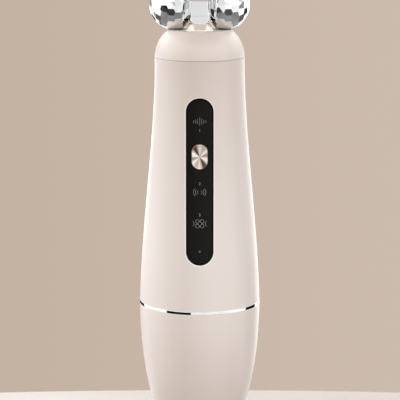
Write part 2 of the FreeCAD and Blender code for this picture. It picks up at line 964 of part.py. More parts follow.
def board_parts():
    def on_board(half_x, half_z, height, x, z):
        front = board_front - height
        return block(x - half_x, x + half_x, front, board_front, z - half_z, z + half_z)
    chip_level = pipe_height + lamp_half + chip_gap + chip_half
    coil_level = (chip_level + chip_half + button_height - switch_half) / 2
    lamp = on_board(lamp_half, lamp_half, lamp_height, 0, pipe_height)
    chip = on_board(chip_half, chip_half, chip_height, 0, chip_level)
    coil = on_board(coil_half_width, coil_half_length, coil_height, 0, coil_level)
    lower_level = board_low + lower_plug_inset
    lower_plug = on_board(plug_half_width, plug_half_length, plug_height, lower_plug_aside, lower_level)
    upper_plug = on_board(plug_half_width, plug_half_length, plug_height, 0, board_top - plug_inset)
    return [chip, coil, lamp, lower_plug, upper_plug]


def battery_cell():
    return rod(cell_radius, cell_low, cell_low + cell_length, 0, cell_back)


def battery_tabs():
    front = cell_back - cell_radius + tab_half_width
    back = cell_back + cell_radius - tab_half_width
    tabs = []
    for low in (cell_low - tab_thickness, cell_low + cell_length):
        tabs.append(block(-tab_half_width, tab_half_width, front, back, low, low + tab_thickness))
    return tabs


def charge_board():
    low = charge_board_low()
    half = charge_board_width / 2
    board = block(-half, half, charge_board_inner, charge_board_outer, low, low + charge_board_thickness)
    for side in (1, -1):
        x = side * charge_screw_reach
        board = board.cut(rod(screw_radius, low - overrun, port_height, x, charge_screw_back))
    return board


def port_shell():
    face = port_face()
    back = face - port_depth
    shell = slot(port_width / 2, port_rise / 2, port_height, back, face)
    inner_x = port_width / 2 - port_skin
    inner_z = port_rise / 2 - port_skin
    room = slot(inner_x, inner_z, port_height, back + port_back, face + overrun)
    return shell.cut(room)


def port_tongue():
    face = port_face()
    half = tongue_width / 2
    low = port_height - tongue_rise / 2
    return block(-half, half, face - port_depth + port_back, face - tongue_short, low, low + tongue_rise)


def lead(points):
    """Round wire through a list of points, with a ball at each bend."""
    wire = None
    for start, end in zip(points[:-1], points[1:]):
        run = end - start
        piece = Part.makeCylinder(lead_radius, run.Length, start, run)
        if wire is None:
            wire = piece
        else:
            wire = wire.fuse(Part.makeSphere(lead_radius, start)).fuse(piece)
    return wire.removeSplitter()


def electrode_leads():
    plug_back = board_front - plug_height / 2
    plug_top = board_top - plug_inset + plug_half_length
    bend = ceiling_level - pin_tail - electrode_lead_bend
    leads = []
    for side in (1, -1):
        leads.append(lead([
            Vector(side * pin_offset, 0, ceiling_level - pin_tail),
            Vector(side * pin_offset, 0, bend),
            Vector(side * lead_reach, electrode_lead_back, bend),
            Vector(side * lead_reach, plug_back, upper_bulkhead - electrode_lead_bend),
            Vector(side * lead_reach, plug_back, plug_top),
        ]))
    return leads


def motor_leads():
    leads = []
    for side in (1, -1):
        x = side * lead_reach
        leads.append(lead([
            Vector(x, motor_back, motor_low),
            Vector(x, motor_back, motor_lead_level),
            Vector(x, board_back, motor_lead_level),
        ]))
    return leads


def battery_leads():
    leads = []
    for side in (1, -1):
        x = side * lead_reach
        leads.append(lead([
            Vector(x, cell_back, cell_top),
            Vector(x, cell_back, battery_lead_level),
            Vector(x, board_back, battery_lead_level),
        ]))
    return leads


def charge_leads():
    plug_back = board_front - plug_height / 2
    plug_low = board_low + lower_plug_inset - plug_half_length
    board_face = charge_board_low() + charge_board_thickness
    start_back = charge_board_inner + lead_sunk
    leads = []
    for side in (1, -1):
        start_x = side * lead_reach
        end_x = start_x + lower_plug_aside
        leads.append(lead([
            Vector(start_x, start_back, board_face),
            Vector(start_x, start_back, board_face + charge_lead_rise),
            Vector(start_x, plug_back, board_face + charge_lead_rise),
            Vector(end_x, plug_back, plug_low - charge_lead_bend),
            Vector(end_x, plug_back, plug_low),
        ]))
    return leads


def save(name, solids):
    if not isinstance(solids, list):
        solids = [solids]
    Part.makeCompound(solids).exportStep("parts/" + name + ".step")


os.makedirs("parts", exist_ok=True)
save("tail_cup", tail_cup())
save("base_pad", base_pad())
save("trim_ring", trim_ring())
save("body_shell", body_shell())
save("neck_cap", neck_cap())
save("tail_seal", seal_ring(tail_collar_radius() + collar_gap * seal_share, tail_seal_level()))
save("neck_seal", seal_ring(neck_collar_radius() + collar_gap * seal_share, neck_seal_level()))
save("control_panel", control_panel())
save("light_pipe", light_pipe())
save("power_button", power_button())
save("switch_plunger", switch_plunger())
save("switch_body", switch_body())
save("roller_bracket", roller_bracket())
save("roller_axles", both_sides(roller_axle()))
save("axle_clips", both_sides(axle_clip()))
save("electrode_pins", both_sides(electrode_pin()))
left_roller, right_roller = reversed(both_sides(roller(faceted_ball())))
save("left_roller", left_roller)
save("right_roller", right_roller)
right_bushes = bush_pair()
save("right_bushes", right_bushes)
save("left_bushes", [both_sides(sleeve)[1] for sleeve in right_bushes])
save("bracket_screws", bracket_screws())
save("cap_screws", cap_screws())
save("tail_screws", tail_screws())
save("charge_screws", charge_screws())
save("board_screws", board_screws())
save("chassis", chassis())
save("main_board", main_board())
save("board_parts", board_parts())
save("battery_cell", battery_cell())
save("battery_tabs", battery_tabs())
save("motor_can", motor_can())
save("motor_sleeve", motor_sleeve())
save("motor_shaft", motor_shaft())
save("eccentric_weight", eccentric_weight())
save("charge_board", charge_board())
save("port_shell", port_shell())
save("port_tongue", port_tongue())
save("electrode_leads", electrode_leads())
save("motor_leads", motor_leads())
save("battery_leads", battery_leads())
save("charge_leads", charge_leads())
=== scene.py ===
import json
import math

import bmesh
import bpy
from mathutils import Color, Matrix, Vector
from mathutils.geometry import delaunay_2d_cdt


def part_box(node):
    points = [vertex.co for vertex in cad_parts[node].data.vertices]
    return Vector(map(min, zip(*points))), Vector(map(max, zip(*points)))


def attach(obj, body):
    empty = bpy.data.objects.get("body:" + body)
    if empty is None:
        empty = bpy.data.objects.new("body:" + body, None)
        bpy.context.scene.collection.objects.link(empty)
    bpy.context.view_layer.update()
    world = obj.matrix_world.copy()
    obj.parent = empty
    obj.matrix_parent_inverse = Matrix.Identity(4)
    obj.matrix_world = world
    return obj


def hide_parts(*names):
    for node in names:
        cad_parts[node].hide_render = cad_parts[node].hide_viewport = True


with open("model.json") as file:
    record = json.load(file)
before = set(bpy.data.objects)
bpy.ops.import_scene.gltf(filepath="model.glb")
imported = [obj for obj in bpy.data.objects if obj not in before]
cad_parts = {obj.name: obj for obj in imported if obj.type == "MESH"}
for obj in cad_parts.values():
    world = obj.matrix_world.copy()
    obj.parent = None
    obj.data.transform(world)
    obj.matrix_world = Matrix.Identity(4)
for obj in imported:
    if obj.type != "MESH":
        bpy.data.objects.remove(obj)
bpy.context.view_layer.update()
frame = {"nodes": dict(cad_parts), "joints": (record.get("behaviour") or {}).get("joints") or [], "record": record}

bl_info = {
    "name": "Roller handle finisher",
    "version": (1, 0, 0),
    "blender": (4, 5, 0),
    "location": "View3D > Sidebar > Roller handle",
    "description": "Dresses a roller handle with finished shells, rollers, panel and stage",
    "category": "Object",
}

HOUSING = "housing"
SIDES = ("left", "right")
FRONT = -1
BACK = 1
QUADRANTS = ((1, 1), (-1, 1), (-1, -1), (1, -1))
TO_MM = 1000.0
WELD = 1e-6  # metres within which two points are one
RELIEF = 1e-5  # metres of depth in a moulding's grain
INNER_WALL = 5e-4  # metres of inset from which a wall is an inner one
HALVINGS = 48  # steps of a search by halves
SHARP_TURN = 30.0  # degrees past which an edge is shaded sharp


def box_middle(node):
    low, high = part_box(node)
    return (low + high) / 2


def box_half(node):
    low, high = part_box(node)
    return (high - low) / 2


# Settings that a user would change


def length(label, about, value):
    return bpy.props.FloatProperty(
        name=label, description=about, default=value, precision=5, unit="LENGTH")


def share(label, about, value):
    return bpy.props.FloatProperty(name=label, description=about, default=value, subtype="FACTOR")


def level(label, about, value):
    return bpy.props.FloatProperty(name=label, description=about, default=value)


def count(label, about, value):
    return bpy.props.IntProperty(name=label, description=about, default=value, min=1)


def angle(label, about, degrees):
    return bpy.props.FloatProperty(
        name=label, description=about, default=math.radians(degrees), subtype="ANGLE")


def tint(label, about, value):
    return bpy.props.FloatVectorProperty(
        name=label, description=about, default=value, size=3, min=0.0, max=1.0, subtype="COLOR_GAMMA")


def glow(label, about, value):
    return bpy.props.FloatVectorProperty(
        name=label, description=about, default=value, size=3, min=0.0, max=1.0, subtype="COLOR")


class ShellSizes(bpy.types.PropertyGroup):
    """Sizes of the three turned shells, the ring and the pad."""
    grip_radius: length("Grip radius", "Widest radius, beside the ring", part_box("body_shell")[1].x)
    flank_radius: length("Flank radius", "Pull of the curve above the ring", 0.0232)
    neck_radius: length("Neck radius", "Radius at the cap's seam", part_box("neck_cap")[1].x)
    wall: length("Wall", "Thickness of the shells", 0.002)
    body_low: length("Body foot", "Height of the body's lower edge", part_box("body_shell")[0].z)
    body_high: length("Body top", "Height of the seam under the cap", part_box("body_shell")[1].z)
    seam_gap: length("Seam gap", "Gap between body and cap", 0.00008)
    seam_round: length("Seam round", "Rounding of both lips of the seam", 0.0002)
    cap_top: length("Cap top", "Height of the cap's flat top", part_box("neck_cap")[1].z)
    dome_radius: length("Dome radius", "Radius of the cap's shoulder", 0.0135)
    crown_round: length("Crown round", "Rounding round the cap's flat top", 0.001)
    tail_top: length("Tail top", "Height of the tail's upper edge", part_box("trim_ring")[0].z)
    tail_low: length("Tail foot", "Height of the tail's underside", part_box("tail_cup")[0].z)
    bulge_radius: length("Tail bulge", "Pull of the curve above the foot", 0.0206)
    foot_radius: length("Foot radius", "Radius the tail's curve runs out to", 0.0158)
    foot_round: length("Foot round", "Rounding under the tail", 0.0035)
    rim_round: length("Rim round", "Rounding of edges beside the ring", 0.0004)
    ring_round: length("Ring round", "Rounding of the ring's edges", 0.00004)
    upper_share: share("Upper pull", "Share of the tail over which the grip stays wide", 0.41)
    lower_share: share("Lower pull", "Share of the tail the foot's taper takes", 0.27)
    patch_margin: length("Patch margin", "Width of the fine mesh round an opening", 0.0022)
    patch_clear: length("Patch clear", "Least distance of the grid's points from an opening", 0.0004)
    columns: count("Columns", "Steps round a turned shell", 192)
    rows: count("Rows", "Steps up a turned shell", 96)


class PanelSizes(bpy.types.PropertyGroup):
    """Sizes of the control panel, its button and the charging inlet."""
    seat_fit: length("Seat fit", "Gap between lens and shell", 0.00012)
    seat_lip: length("Seat lip", "Rounding of the shell's edge round the lens", 0.00022)
    # painted highlight: this is the width of a lighter band painted on the shell round the lens, standing in for
    # the highlight on the seat's edge
    lip_highlight_width: length("Lip width", "Width of the burnished edge round the lens", 0.0005)
    seat_depth: length("Seat depth", "Depth of the lens's seat", 0.001)
    ledge: length("Ledge", "Width of the ledge the lens lies on", 0.0015)
    proud: length("Proud", "How far the lens stands proud of the shell", 0.00005)
    edge_round: length("Edge round", "Rounding of the lens's rim", 0.00028)
    border: length("Border", "Width of the lens's painted border", 0.00062)
    edge_fade: length("Edge fade", "Width over which a painted edge fades", 0.0001)
    lens_pitch: length("Lens pitch", "Spacing of the points of the lens's mesh", 0.0008)
    button_width: length("Button width", "Width of the oval button", 0.0063)
    button_length: length("Button length", "Height of the oval button", 0.0099)
    button_gap: length("Button gap", "Gap between the button and the lens", 0.0002)
    button_round: length("Button round", "Rounding of the button's rim", 0.00035)
    button_dish: length("Button dish", "Depth of the button's spun hollow", 0.00018)
    button_skirt: length("Button skirt", "Depth of the button's sides", 0.0045)
    pipe_radius: length("Light pipe radius", "Radius of the indicator's hole", 0.0004)
    inlet_width: length("Inlet width", "Width of the recess round the charging inlet", 0.0126)
    inlet_rise: length("Inlet rise", "Height of the recess round the charging inlet", 0.0068)
    inlet_fit: length("Inlet fit", "Gap round the inlet's shell", 0.00015)


class PrintSizes(bpy.types.PropertyGroup):
    """Sizes and places of the marks and numbers printed on the lens."""
    stroke: length("Stroke", "Width of a printed line", 0.00014)
    thickness: length("Thickness", "How far the print stands on the lens", 0.00002)
    bars_height: length("Bars", "Height of the mark of upright bars", 0.1270)
    bar_pitch: length("Bar pitch", "Step from one bar to the next", 0.00079)
    bar_length: length("Bar length", "Length of the middle bar", 0.0031)
    bar_fall: share("Bar fall", "Length of a bar as a share of the one inside it", 0.7)
    waves_height: length("Waves", "Height of the mark of waves", 0.0996)
    wave_start: length("Wave start", "Distance of the inner waves from the middle", 0.0009)
    wave_pitch: length("Wave pitch", "Step from one wave to the next", 0.00078)
    wave_length: length("Wave length", "Length of the inner waves", 0.0015)
    wave_growth: level("Wave growth", "Length of a wave over that of the one inside it", 1.5)
    wave_turn: level("Wave turn", "Half of the arc of a wave in degrees", 55.0)
    loops_height: length("Loops", "Height of the mark of crossed loops", 0.0874)
    loop_half_length: length("Loop half length", "Half of the length of a loop", 0.0020)
    loop_half_width: length("Loop half width", "Half of the width of a loop", 0.0007)
    loop_tilt: angle("Loop tilt", "Tilt of the two loops", 45.0)
    bow_start: length("Bow start", "Distance of the bowed lines from the middle", 0.0022)
    bow_half_width: length("Bow half width", "Half width of the bowed lines' ellipse", 0.00238)
    bow_half_height: length("Bow half height", "Half height of the bowed lines' ellipse", 0.0016)
    bow_turn: level("Bow turn", "Half of the arc of a bowed line in degrees", 40.0)
    figure_size: length("Figure size", "Height of a printed number", 0.0015)
    one_height: length("One", "Height of the first number", 0.1235)
    two_height: length("Two", "Height of the second number", 0.1029)
    three_height: length("Three", "Height of the third number", 0.09075)


class HeadSizes(bpy.types.PropertyGroup):
    """Sizes of the roller head's finish."""
    pocket_gap: length("Pocket gap", "Gap between a roller and its pocket in the cap", 0.0003)
    roller_radius: length("Roller radius", "Radius of a roller", 0.0106)
    facet_edge: length("Facet edge", "Width of the softened edges between facets", 0.00007)
    post_reach: length("Post reach", "Half width of the post beside the rollers", 0.0041)
    post_half_width: length("Post half width", "Half width of the post low down", 0.0039)
    post_narrowing: length("Post narrowing", "How much narrower each side is at the top", 0.0003)
    post_low: length("Post low", "Height over which the post narrows", 0.0056)
    post_high: length("Post high", "Height where the post is narrowest", 0.00945)
    post_roof: length("Post roof", "Height where the post's round top starts", 0.0114)
    bevel_width: length("Bevel width", "Width of the post's upright bevels", 0.00055)
    post_corner: length("Post corner", "Height of the post's lower corners", 0.0012)
    bevel_depth: length("Bevel depth", "Half depth of the post where its bevels end", 0.00517)
    # painted reflection: below this height the post's plating takes a warm tint that stands in for its reflection
    # of the beige cap
    flare_height: length("Flare height", "Height of the post's warm foot", 0.0025)
    post_bevel: length("Post bevel", "How far the post's front bevels are brought forward", 0.0002)
    post_edge: length("Post edge", "Width of the softened edges of the post", 0.0002)
    post_seam: length("Post seam", "Width of the faint line across the post", 0.00012)


class FinishTints(bpy.types.PropertyGroup):
    """Colours of the finishes, as they look on a screen."""
    shell: tint("Shell", "Satin moulding", (0.897, 0.857, 0.832))
    shell_shade: tint("Shell shade", "Darker cast of the moulding", (0.886, 0.844, 0.817))
    cap: tint("Cap", "Neck cap, a little paler than the body", (0.936, 0.902, 0.878))
    cap_shade: tint("Cap shade", "Faint variation of the cap", (0.926, 0.890, 0.864))
    # painted highlight: this tint is painted on the shell in a band round the lens, standing in for the highlight
    # along the seat's edge
    lip: tint("Lip", "Burnished edge of the shell round the lens", (1.0, 0.968, 0.945))
    lens: tint("Lens", "Gloss black panel", (0.085, 0.082, 0.078))
    border: tint("Border", "Painted border of the lens", (0.03, 0.028, 0.026))
    # painted highlights: the button's bright, dark and middle tones form rays painted round its middle, standing
    # in for the reflections on its spun face
    button_highlight: tint("Button light", "Bright streaks of the spun button", (1.0, 0.985, 0.972))
    button_dark_reflection: tint("Button dark", "Dark streaks of the spun button", (0.31, 0.245, 0.21))
    button_mid: tint("Button mid", "Middle tone of the spun button", (0.80, 0.73, 0.68))
    # painted shade: this coppery tint stands in for the reflection in the button's bevel
    button_rim_shade: tint("Button rim", "Coppery edge of the button", (0.60, 0.45, 0.36))
    chrome: tint("Chrome", "Mirror plating", (0.905, 0.907, 0.909))
    # painted reflection: this tint is the beige cap as the post's chrome foot reflects it, painted into the
    # plating's colour
    flare_cap_reflection: tint("Flare", "Warm plating of the post's foot", (0.98, 0.932, 0.885))
    print: tint("Print", "Printed marks", (0.60, 0.59, 0.575))
    indicator: tint("Indicator", "Light pipe", (0.37, 0.365, 0.36))
    pad: tint("Pad", "Foot pad and seals", (0.60, 0.565, 0.54))


class StageSizes(bpy.types.PropertyGroup):
    """Table, light and camera."""
    camera_distance: length("Camera distance", "Distance in front of the handle", 0.780)
    camera_height: length("Camera height", "Height above the table", 0.23664)
    aim_height: length("Aim height", "Height the camera looks at", 0.09278)
    camera_aside: length("Camera aside", "Sideways place of the camera", 0.00012)
    focal_pixels: level("Focal pixels", "Focal length in pixels of the picture", 1988.0)
    picture_pixels: level("Picture pixels", "Side of the square picture", 400.0)
    lamp_height: length("Lamp height", "Height of the close lamps", 0.075)
    lamp_distance: length("Lamp distance", "Distance of the close lamps from the axis", 0.125)
    lamp_side: length("Lamp side", "Side of the close lamps", 0.06)
    lamp_tint: tint("Lamp tint", "Colour of the close lamps", (0.89, 0.955, 1.0))
    front_turn: angle("Front turn", "Turn of the front lamp towards the right", 18.0)
    front_power: level("Front power", "Power of the front lamp in watts", 0.0435)
    side_turn: angle("Side turn", "Turn of the side lamp", -92.0)
    side_power: level("Side power", "Power of the side lamp in watts", 0.052)
    glow_turn: angle("Glow turn", "Turn of the two small lamps behind the head", 112.0)
    glow_height: length("Glow height", "Height of the small lamps", 0.182)
    glow_distance: length("Glow distance", "Distance of the small lamps from the axis", 0.06)
    glow_side: length("Glow side", "Side of the small lamps", 0.03)
    left_glow: level("Left glow", "Power of the left small lamp in watts", 0.0042)
    right_glow: level("Right glow", "Power of the right small lamp in watts", 0.0035)
    table_radius: length("Table radius", "Radius of the round table", 1.0)
    table_back: length("Table back", "How far the table runs on behind the handle", 0.05)
    table_depth: length("Table depth", "Thickness of the table", 0.02)
    table: tint("Table", "Table top", (0.955, 0.925, 0.905))
    bounce: tint("Bounce", "Table top as the handle sees it", (0.70, 0.65, 0.61))
    wall: tint("Wall", "Backdrop", (0.770, 0.698, 0.636))
    wall_light: tint("Wall light", "Backdrop on the lit side", (0.80, 0.735, 0.678))
    cool_light: glow("Cool light", "Colour of the banks on the left and behind", (1.0, 0.97, 0.945))
    mild_light: glow("Mild light", "Colour of the bank on the right", (0.99, 0.945, 0.915))
    warm_light: glow("Warm light", "Colour of the banks in front", (1.0, 0.92, 0.85))
    overhead_light: glow("Overhead light", "Colour of the light overhead", (1.0, 0.96, 0.93))


SETTINGS = {
    "handle_shells": ShellSizes,
    "handle_panel": PanelSizes,
    "handle_print": PrintSizes,
    "handle_head": HeadSizes,
    "handle_tints": FinishTints,
    "handle_stage": StageSizes,
}


def shells():
    return bpy.context.scene.handle_shells


def panel():
    return bpy.context.scene.handle_panel


def marks():
    return bpy.context.scene.handle_print


def head():
    return bpy.context.scene.handle_head


def tints():
    return bpy.context.scene.handle_tints


def stage():
    return bpy.context.scene.handle_stage


# Node trees and materials


def linear(colour):
    """Screen colour as the four linear values that a colour socket takes."""
    return (*Color(colour).from_srgb_to_scene_linear(), 1.0)


def dimmed(colour, part):
    """Darker cast of a screen colour, for a colour socket."""
    return linear([part * value for value in colour])


class Signal:
    """A value on its way through a node tree; arithmetic on it adds Math nodes."""

    def __init__(self, bench, socket):
        self.bench = bench
        self.socket = socket

    def math(self, operation, *others):
        return self.bench.math(operation, self, *others)

    def __add__(self, other):
        return self.math("ADD", other)

    def __radd__(self, other):
        return self.bench.math("ADD", other, self)

    def __sub__(self, other):
        return self.math("SUBTRACT", other)

    def __rsub__(self, other):
        return self.bench.math("SUBTRACT", other, self)

    def __mul__(self, other):
        return self.math("MULTIPLY", other)

    def __rmul__(self, other):
        return self.bench.math("MULTIPLY", other, self)

    def __truediv__(self, other):
        return self.math("DIVIDE", other)

    def __pow__(self, other):
        return self.math("POWER", other)

    def clamped(self):
        return self.math("MAXIMUM", 0.0).math("MINIMUM", 1.0)

    def step(self, low, high):
        """0 below low, 1 above high, and a soft rise between."""
        node = self.bench.add(
            "ShaderNodeMapRange", {"interpolation_type": "SMOOTHSTEP"},
            {"Value": self, "From Min": low, "From Max": high})
        return self.bench.out(node)

    def between(self, low, high, soft):
        """1 between two values, fading over a soft width outside them."""
        return self.step(low - soft, low) * (1.0 - self.step(high, high + soft))

    def towards(self, other, part):
        """Value some part of the way to another value."""
        return self + (other - self) * part


class Bench:
    """Adds nodes to one tree from their type, settings and socket values."""

    def __init__(self, tree):
        self.tree = tree

    def add(self, kind, settings=None, sockets=None):
        node = self.tree.nodes.new(kind)
        for name, value in (settings or {}).items():
            setattr(node, name, value)
        for name, value in (sockets or {}).items():
            self.feed(node.inputs[name], value)
        return node

    def feed(self, socket, value):
        if isinstance(value, Signal):
            self.tree.links.new(value.socket, socket)
        else:
            socket.default_value = value

    def out(self, node, name=0):
        return Signal(self, node.outputs[name])

    def math(self, operation, *values):
        node = self.add("ShaderNodeMath", {"operation": operation})
        for socket, value in zip(node.inputs, values):
            self.feed(socket, value)
        return self.out(node)

    def blend(self, factor, first, second):
        """Colour between two colours."""
        node = self.add("ShaderNodeMix", {"data_type": "RGBA"}, {0: factor, 6: first, 7: second})
        return self.out(node, 2)

    def split(self, vector):
        node = self.add("ShaderNodeSeparateXYZ", sockets={0: vector})
        return [self.out(node, axis) for axis in range(3)]

    def join(self, x, y, z):
        return self.out(self.add("ShaderNodeCombineXYZ", sockets={0: x, 1: y, 2: z}))


class Finish(Bench):
    """A material with one Principled surface."""

    def __init__(self, name):
        self.material = bpy.data.materials.new(name)
        self.material.use_nodes = True
        super().__init__(self.material.node_tree)
        self.tree.nodes.clear()
        self.surface = self.add("ShaderNodeBsdfPrincipled")
        self.add("ShaderNodeOutputMaterial", sockets={"Surface": self.out(self.surface)})

    def place(self):
        return self.out(self.add("ShaderNodeTexCoord"), "Object")

    def scaled(self, x, y, z):
        """Object coordinates stretched along each axis."""
        node = self.add(
            "ShaderNodeVectorMath", {"operation": "MULTIPLY"}, {0: self.place(), 1: (x, y, z)})
        return self.out(node)

    def noise(self, scale, detail=2.0, vector=None):
        node = self.add(
            "ShaderNodeTexNoise", {},
            {"Vector": vector or self.place(), "Scale": scale, "Detail": detail})
        return self.out(node)

    def inward(self, half, height):
        """Depth inside an upright round-ended outline, as seen from the front."""
        x, _, z = self.split(self.place())
        past = ((z - height).math("ABSOLUTE") - (half.z - half.x)).math("MAXIMUM", 0.0)
        return half.x - (x * x + past * past).math("SQRT")

    def panel_inward(self):
        """Depth inside the control panel's outline."""
        return self.inward(box_half("control_panel"), box_middle("control_panel").z)

    def bump(self, height, strength, depth):
        node = self.add(
            "ShaderNodeBump", {}, {"Height": height, "Strength": strength, "Distance": depth})
        return self.out(node)

    def set(self, sockets):
        for name, value in sockets.items():
            self.feed(self.surface.inputs[name], value)
        return self.material


# Finishes of the handle


def satin_moulding(name, light, shade):
    """Fine spark-eroded plastic with a faint drift of colour and gloss, and a painted highlight along the shell's
    edge round the lens.
    """
    finish = Finish(name)
    drift = finish.noise(45.0, 3.0)
    grain = finish.noise(5200.0, 2.0)
    handling = finish.noise(160.0, 4.0)
    colour = finish.blend(drift, linear(light), linear(shade))
    _, y, _ = finish.split(finish.place())
    width = panel().lip_highlight_width
    front = 1.0 - y.step(-width, 0.0)
    outward = 0.0 - finish.panel_inward()
    # painted highlight: the lighter lip tint is painted in a band just outside the lens, on the front only,
    # standing in for the highlight along the seat's edge
    lip = outward.between(0.0, width, width / 5) * front
    return finish.set({
        "Base Color": finish.blend(lip, colour, linear(tints().lip)),
        "Roughness": 0.33 + handling * 0.08,
        "Normal": finish.bump(grain, 0.25, RELIEF),
        "Specular IOR Level": 0.73,
    })


def mirror_plating(name, haze, cap_reflection_below=0.0, seam=0.0):
    """Bright plating with a breath of haze and hair-fine polishing marks.

    Below one level it takes a warm tint, a painted reflection of the beige cap, and is hazy; it can carry a faint
    level seam at another.
    """
    finish = Finish(name)
    _, _, z = finish.split(finish.place())
    breath = finish.noise(220.0, 4.0)
    hairs = finish.noise(900.0, 2.0, finish.scaled(1.0, 1.0, 14.0))
    shade = finish.blend(breath, linear(tints().chrome), dimmed(tints().chrome, 0.985))
    width = head().post_seam
    line = z.between(seam - width / 2, seam + width / 2, width / 3)
    shade = finish.blend(line * 0.4, shade, dimmed(tints().chrome, 0.6))
    # painted reflection: below the level the plating takes the warm flare tint, standing in for its reflection of
    # the beige cap
    upper = z.step(cap_reflection_below, cap_reflection_below + WELD)
    return finish.set({
        "Base Color": finish.blend(upper, linear(tints().flare_cap_reflection), shade),
        "Metallic": 1.0,
        "Roughness": haze + breath * haze + 0.36 * (1.0 - upper),
        "Normal": finish.bump(hairs, 0.05, 0.4 * RELIEF),
    })


def black_lens():
    """Smoked lens: near-black gloss with faint wipe marks and a darker painted border."""
    finish = Finish("black_lens")
    width = panel().border
    border = 1.0 - finish.panel_inward().step(width, width + panel().edge_fade)
    wipe = finish.noise(240.0, 4.0, finish.scaled(1.0, 1.0, 0.35))
    ripple = finish.noise(130.0, 1.0)
    smoked = finish.blend(wipe, linear(tints().lens), dimmed(tints().lens, 0.86))
    return finish.set({
        "Base Color": finish.blend(border, smoked, linear(tints().border)),
        "Roughness": 0.2 + wipe * 0.1 + border * 0.5,
        "Normal": finish.bump(ripple, 0.04, 2 * RELIEF),
        "Specular IOR Level": 0.085,
    })


def spun_metal():
    """Champagne metal with a spun face; its bright and dark streaks round the button's middle are painted
    highlights and painted reflection, and its coppery rim is painted shade.
    """
    finish = Finish("spun_metal")
    middle = box_middle("power_button")
    x, _, z = finish.split(finish.place())
    rise = z - middle.z
    turn = finish.math("ARCTAN2", rise, x)
    distance = (x * x + rise * rise).math("SQRT") + WELD
    ray = finish.join(x / distance, rise / distance, 0.0)
    streaks = finish.noise(26.0, 4.0, ray)
    hairs = finish.noise(90.0, 2.0, ray)
    # painted highlights: bright and dark rays at fixed turns round the button's middle stand in for the
    # reflections across the spun face
    ray_highlights = 0.56
    swings = ((2, 0.15, -27.0), (4, 0.29, 85.0), (6, 0.27, 143.0), (8, 0.10, 11.0))
    for folds, swing, shift in swings:
        ray_highlights = ray_highlights + swing * (turn * folds + math.radians(shift)).math("COSINE")
    tone = (ray_highlights + (streaks - 0.5) * 0.2 + (hairs - 0.5) * 0.15).clamped()
    # painted reflection: the ray pattern is turned into dark, middle and bright colours of the button
    spun = finish.blend(tone.step(0.0, 0.5), linear(tints().button_dark_reflection), linear(tints().button_mid))
    spun = finish.blend(tone.step(0.5, 1.0), spun, linear(tints().button_highlight))
    oval = Vector((panel().button_width / 2, 0.0, panel().button_length / 2))
    inward = finish.inward(oval, middle.z)
    fade = panel().edge_fade
    # painted shade: a darker coppery band at the outer edge of the rim stands in for the bevel's reflection
    rim = 1.0 - 0.7 * inward.step(fade, 4 * fade) - 0.3 * inward.step(0.3 * fade, fade)
    return finish.set({
        "Base Color": finish.blend(rim, spun, linear(tints().button_rim_shade)),
        "Metallic": 0.45,
        "Roughness": 0.34 + streaks * 0.12,
        "Normal": finish.bump(hairs, 0.12, RELIEF),
    })


def screen_print():
    """Grey ink, a little uneven."""
    finish = Finish("screen_print")
    fleck = finish.noise(2600.0, 2.0)
    return finish.set({
        "Base Color": finish.blend(fleck, dimmed(tints().print, 0.86), linear(tints().print)),
        "Roughness": 0.55 + fleck * 0.1,
    })


def grained(name, colour, roughness, metallic, scale, depth):
    """Plain stuff with a fine grain in colour, gloss and relief."""
    finish = Finish(name)
    grain = finish.noise(scale, 3.0)
    drift = finish.noise(scale / 18.0, 2.0)
    return finish.set({
        "Base Color": finish.blend(drift, linear(colour), dimmed(colour, 0.9)),
        "Metallic": metallic,
        "Roughness": roughness + grain * 0.1,
        "Normal": finish.bump(grain, 0.2, depth),
    })


def slot_finishes():
    """One material for each of the record's material slots."""
    return {
        "beige_shell": satin_moulding("satin_moulding", tints().shell, tints().shell_shade),
        "mirror_chrome": mirror_plating("mirror_plating", 0.02),
        "gloss_black": black_lens(),
        "champagne_metal": spun_metal(),
        "soft_grey": grained("soft_pad", tints().pad, 0.6, 0.0, 2400.0, 2 * RELIEF),
        "clear_pipe": grained("light_pipe", tints().indicator, 0.3, 0.0, 1800.0, RELIEF),
        "dark_plastic": grained("dark_plastic", (0.16, 0.16, 0.16), 0.5, 0.0, 2400.0, RELIEF),
        "steel": grained("plain_steel", (0.74, 0.74, 0.75), 0.22, 1.0, 1800.0, 0.6 * RELIEF),
        "brass": grained("plain_brass", (0.86, 0.72, 0.46), 0.25, 1.0, 1800.0, 0.6 * RELIEF),
        "white_plastic": grained("white_plastic", (0.9, 0.9, 0.88), 0.45, 0.0, 2400.0, RELIEF),
        "circuit_green": grained("circuit_green", (0.12, 0.42, 0.25), 0.35, 0.0, 1500.0, RELIEF),
        "cell_blue": grained("cell_wrap", (0.25, 0.45, 0.7), 0.3, 0.0, 900.0, RELIEF),
        "lead_red": grained("wire_sheath", (0.7, 0.18, 0.16), 0.5, 0.0, 1500.0, RELIEF),
    }


def finish_of(slot):
    return bpy.data.materials[bpy.context.scene["slot_" + slot]]


# Objects and meshes


def new_object(name, data):
    """Object linked to the scene."""
    made = bpy.data.objects.new(name, data)
    bpy.context.scene.collection.objects.link(made)
    return made


def new_piece(name, mesh, slot, body, *nodes, material=None):
    """Link a finished mesh as a piece that rides on a body and stands for nodes."""
    mesh.name = name
    piece = new_object(name, mesh)
    mesh.materials.clear()
    mesh.materials.append(material or finish_of(slot))
    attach(piece, body)
    if nodes:
        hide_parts(*nodes)


def baked(data, dress=None):
    """Plain mesh of some data, with the modifiers applied that a function puts on its object."""
    carrier = new_object("carrier", data)
    if dress:
        dress(carrier)
    graph = bpy.context.evaluated_depsgraph_get()
    mesh = bpy.data.meshes.new_from_object(carrier.evaluated_get(graph))
    carrier.modifiers.clear()
    bpy.data.objects.remove(carrier)
    return mesh


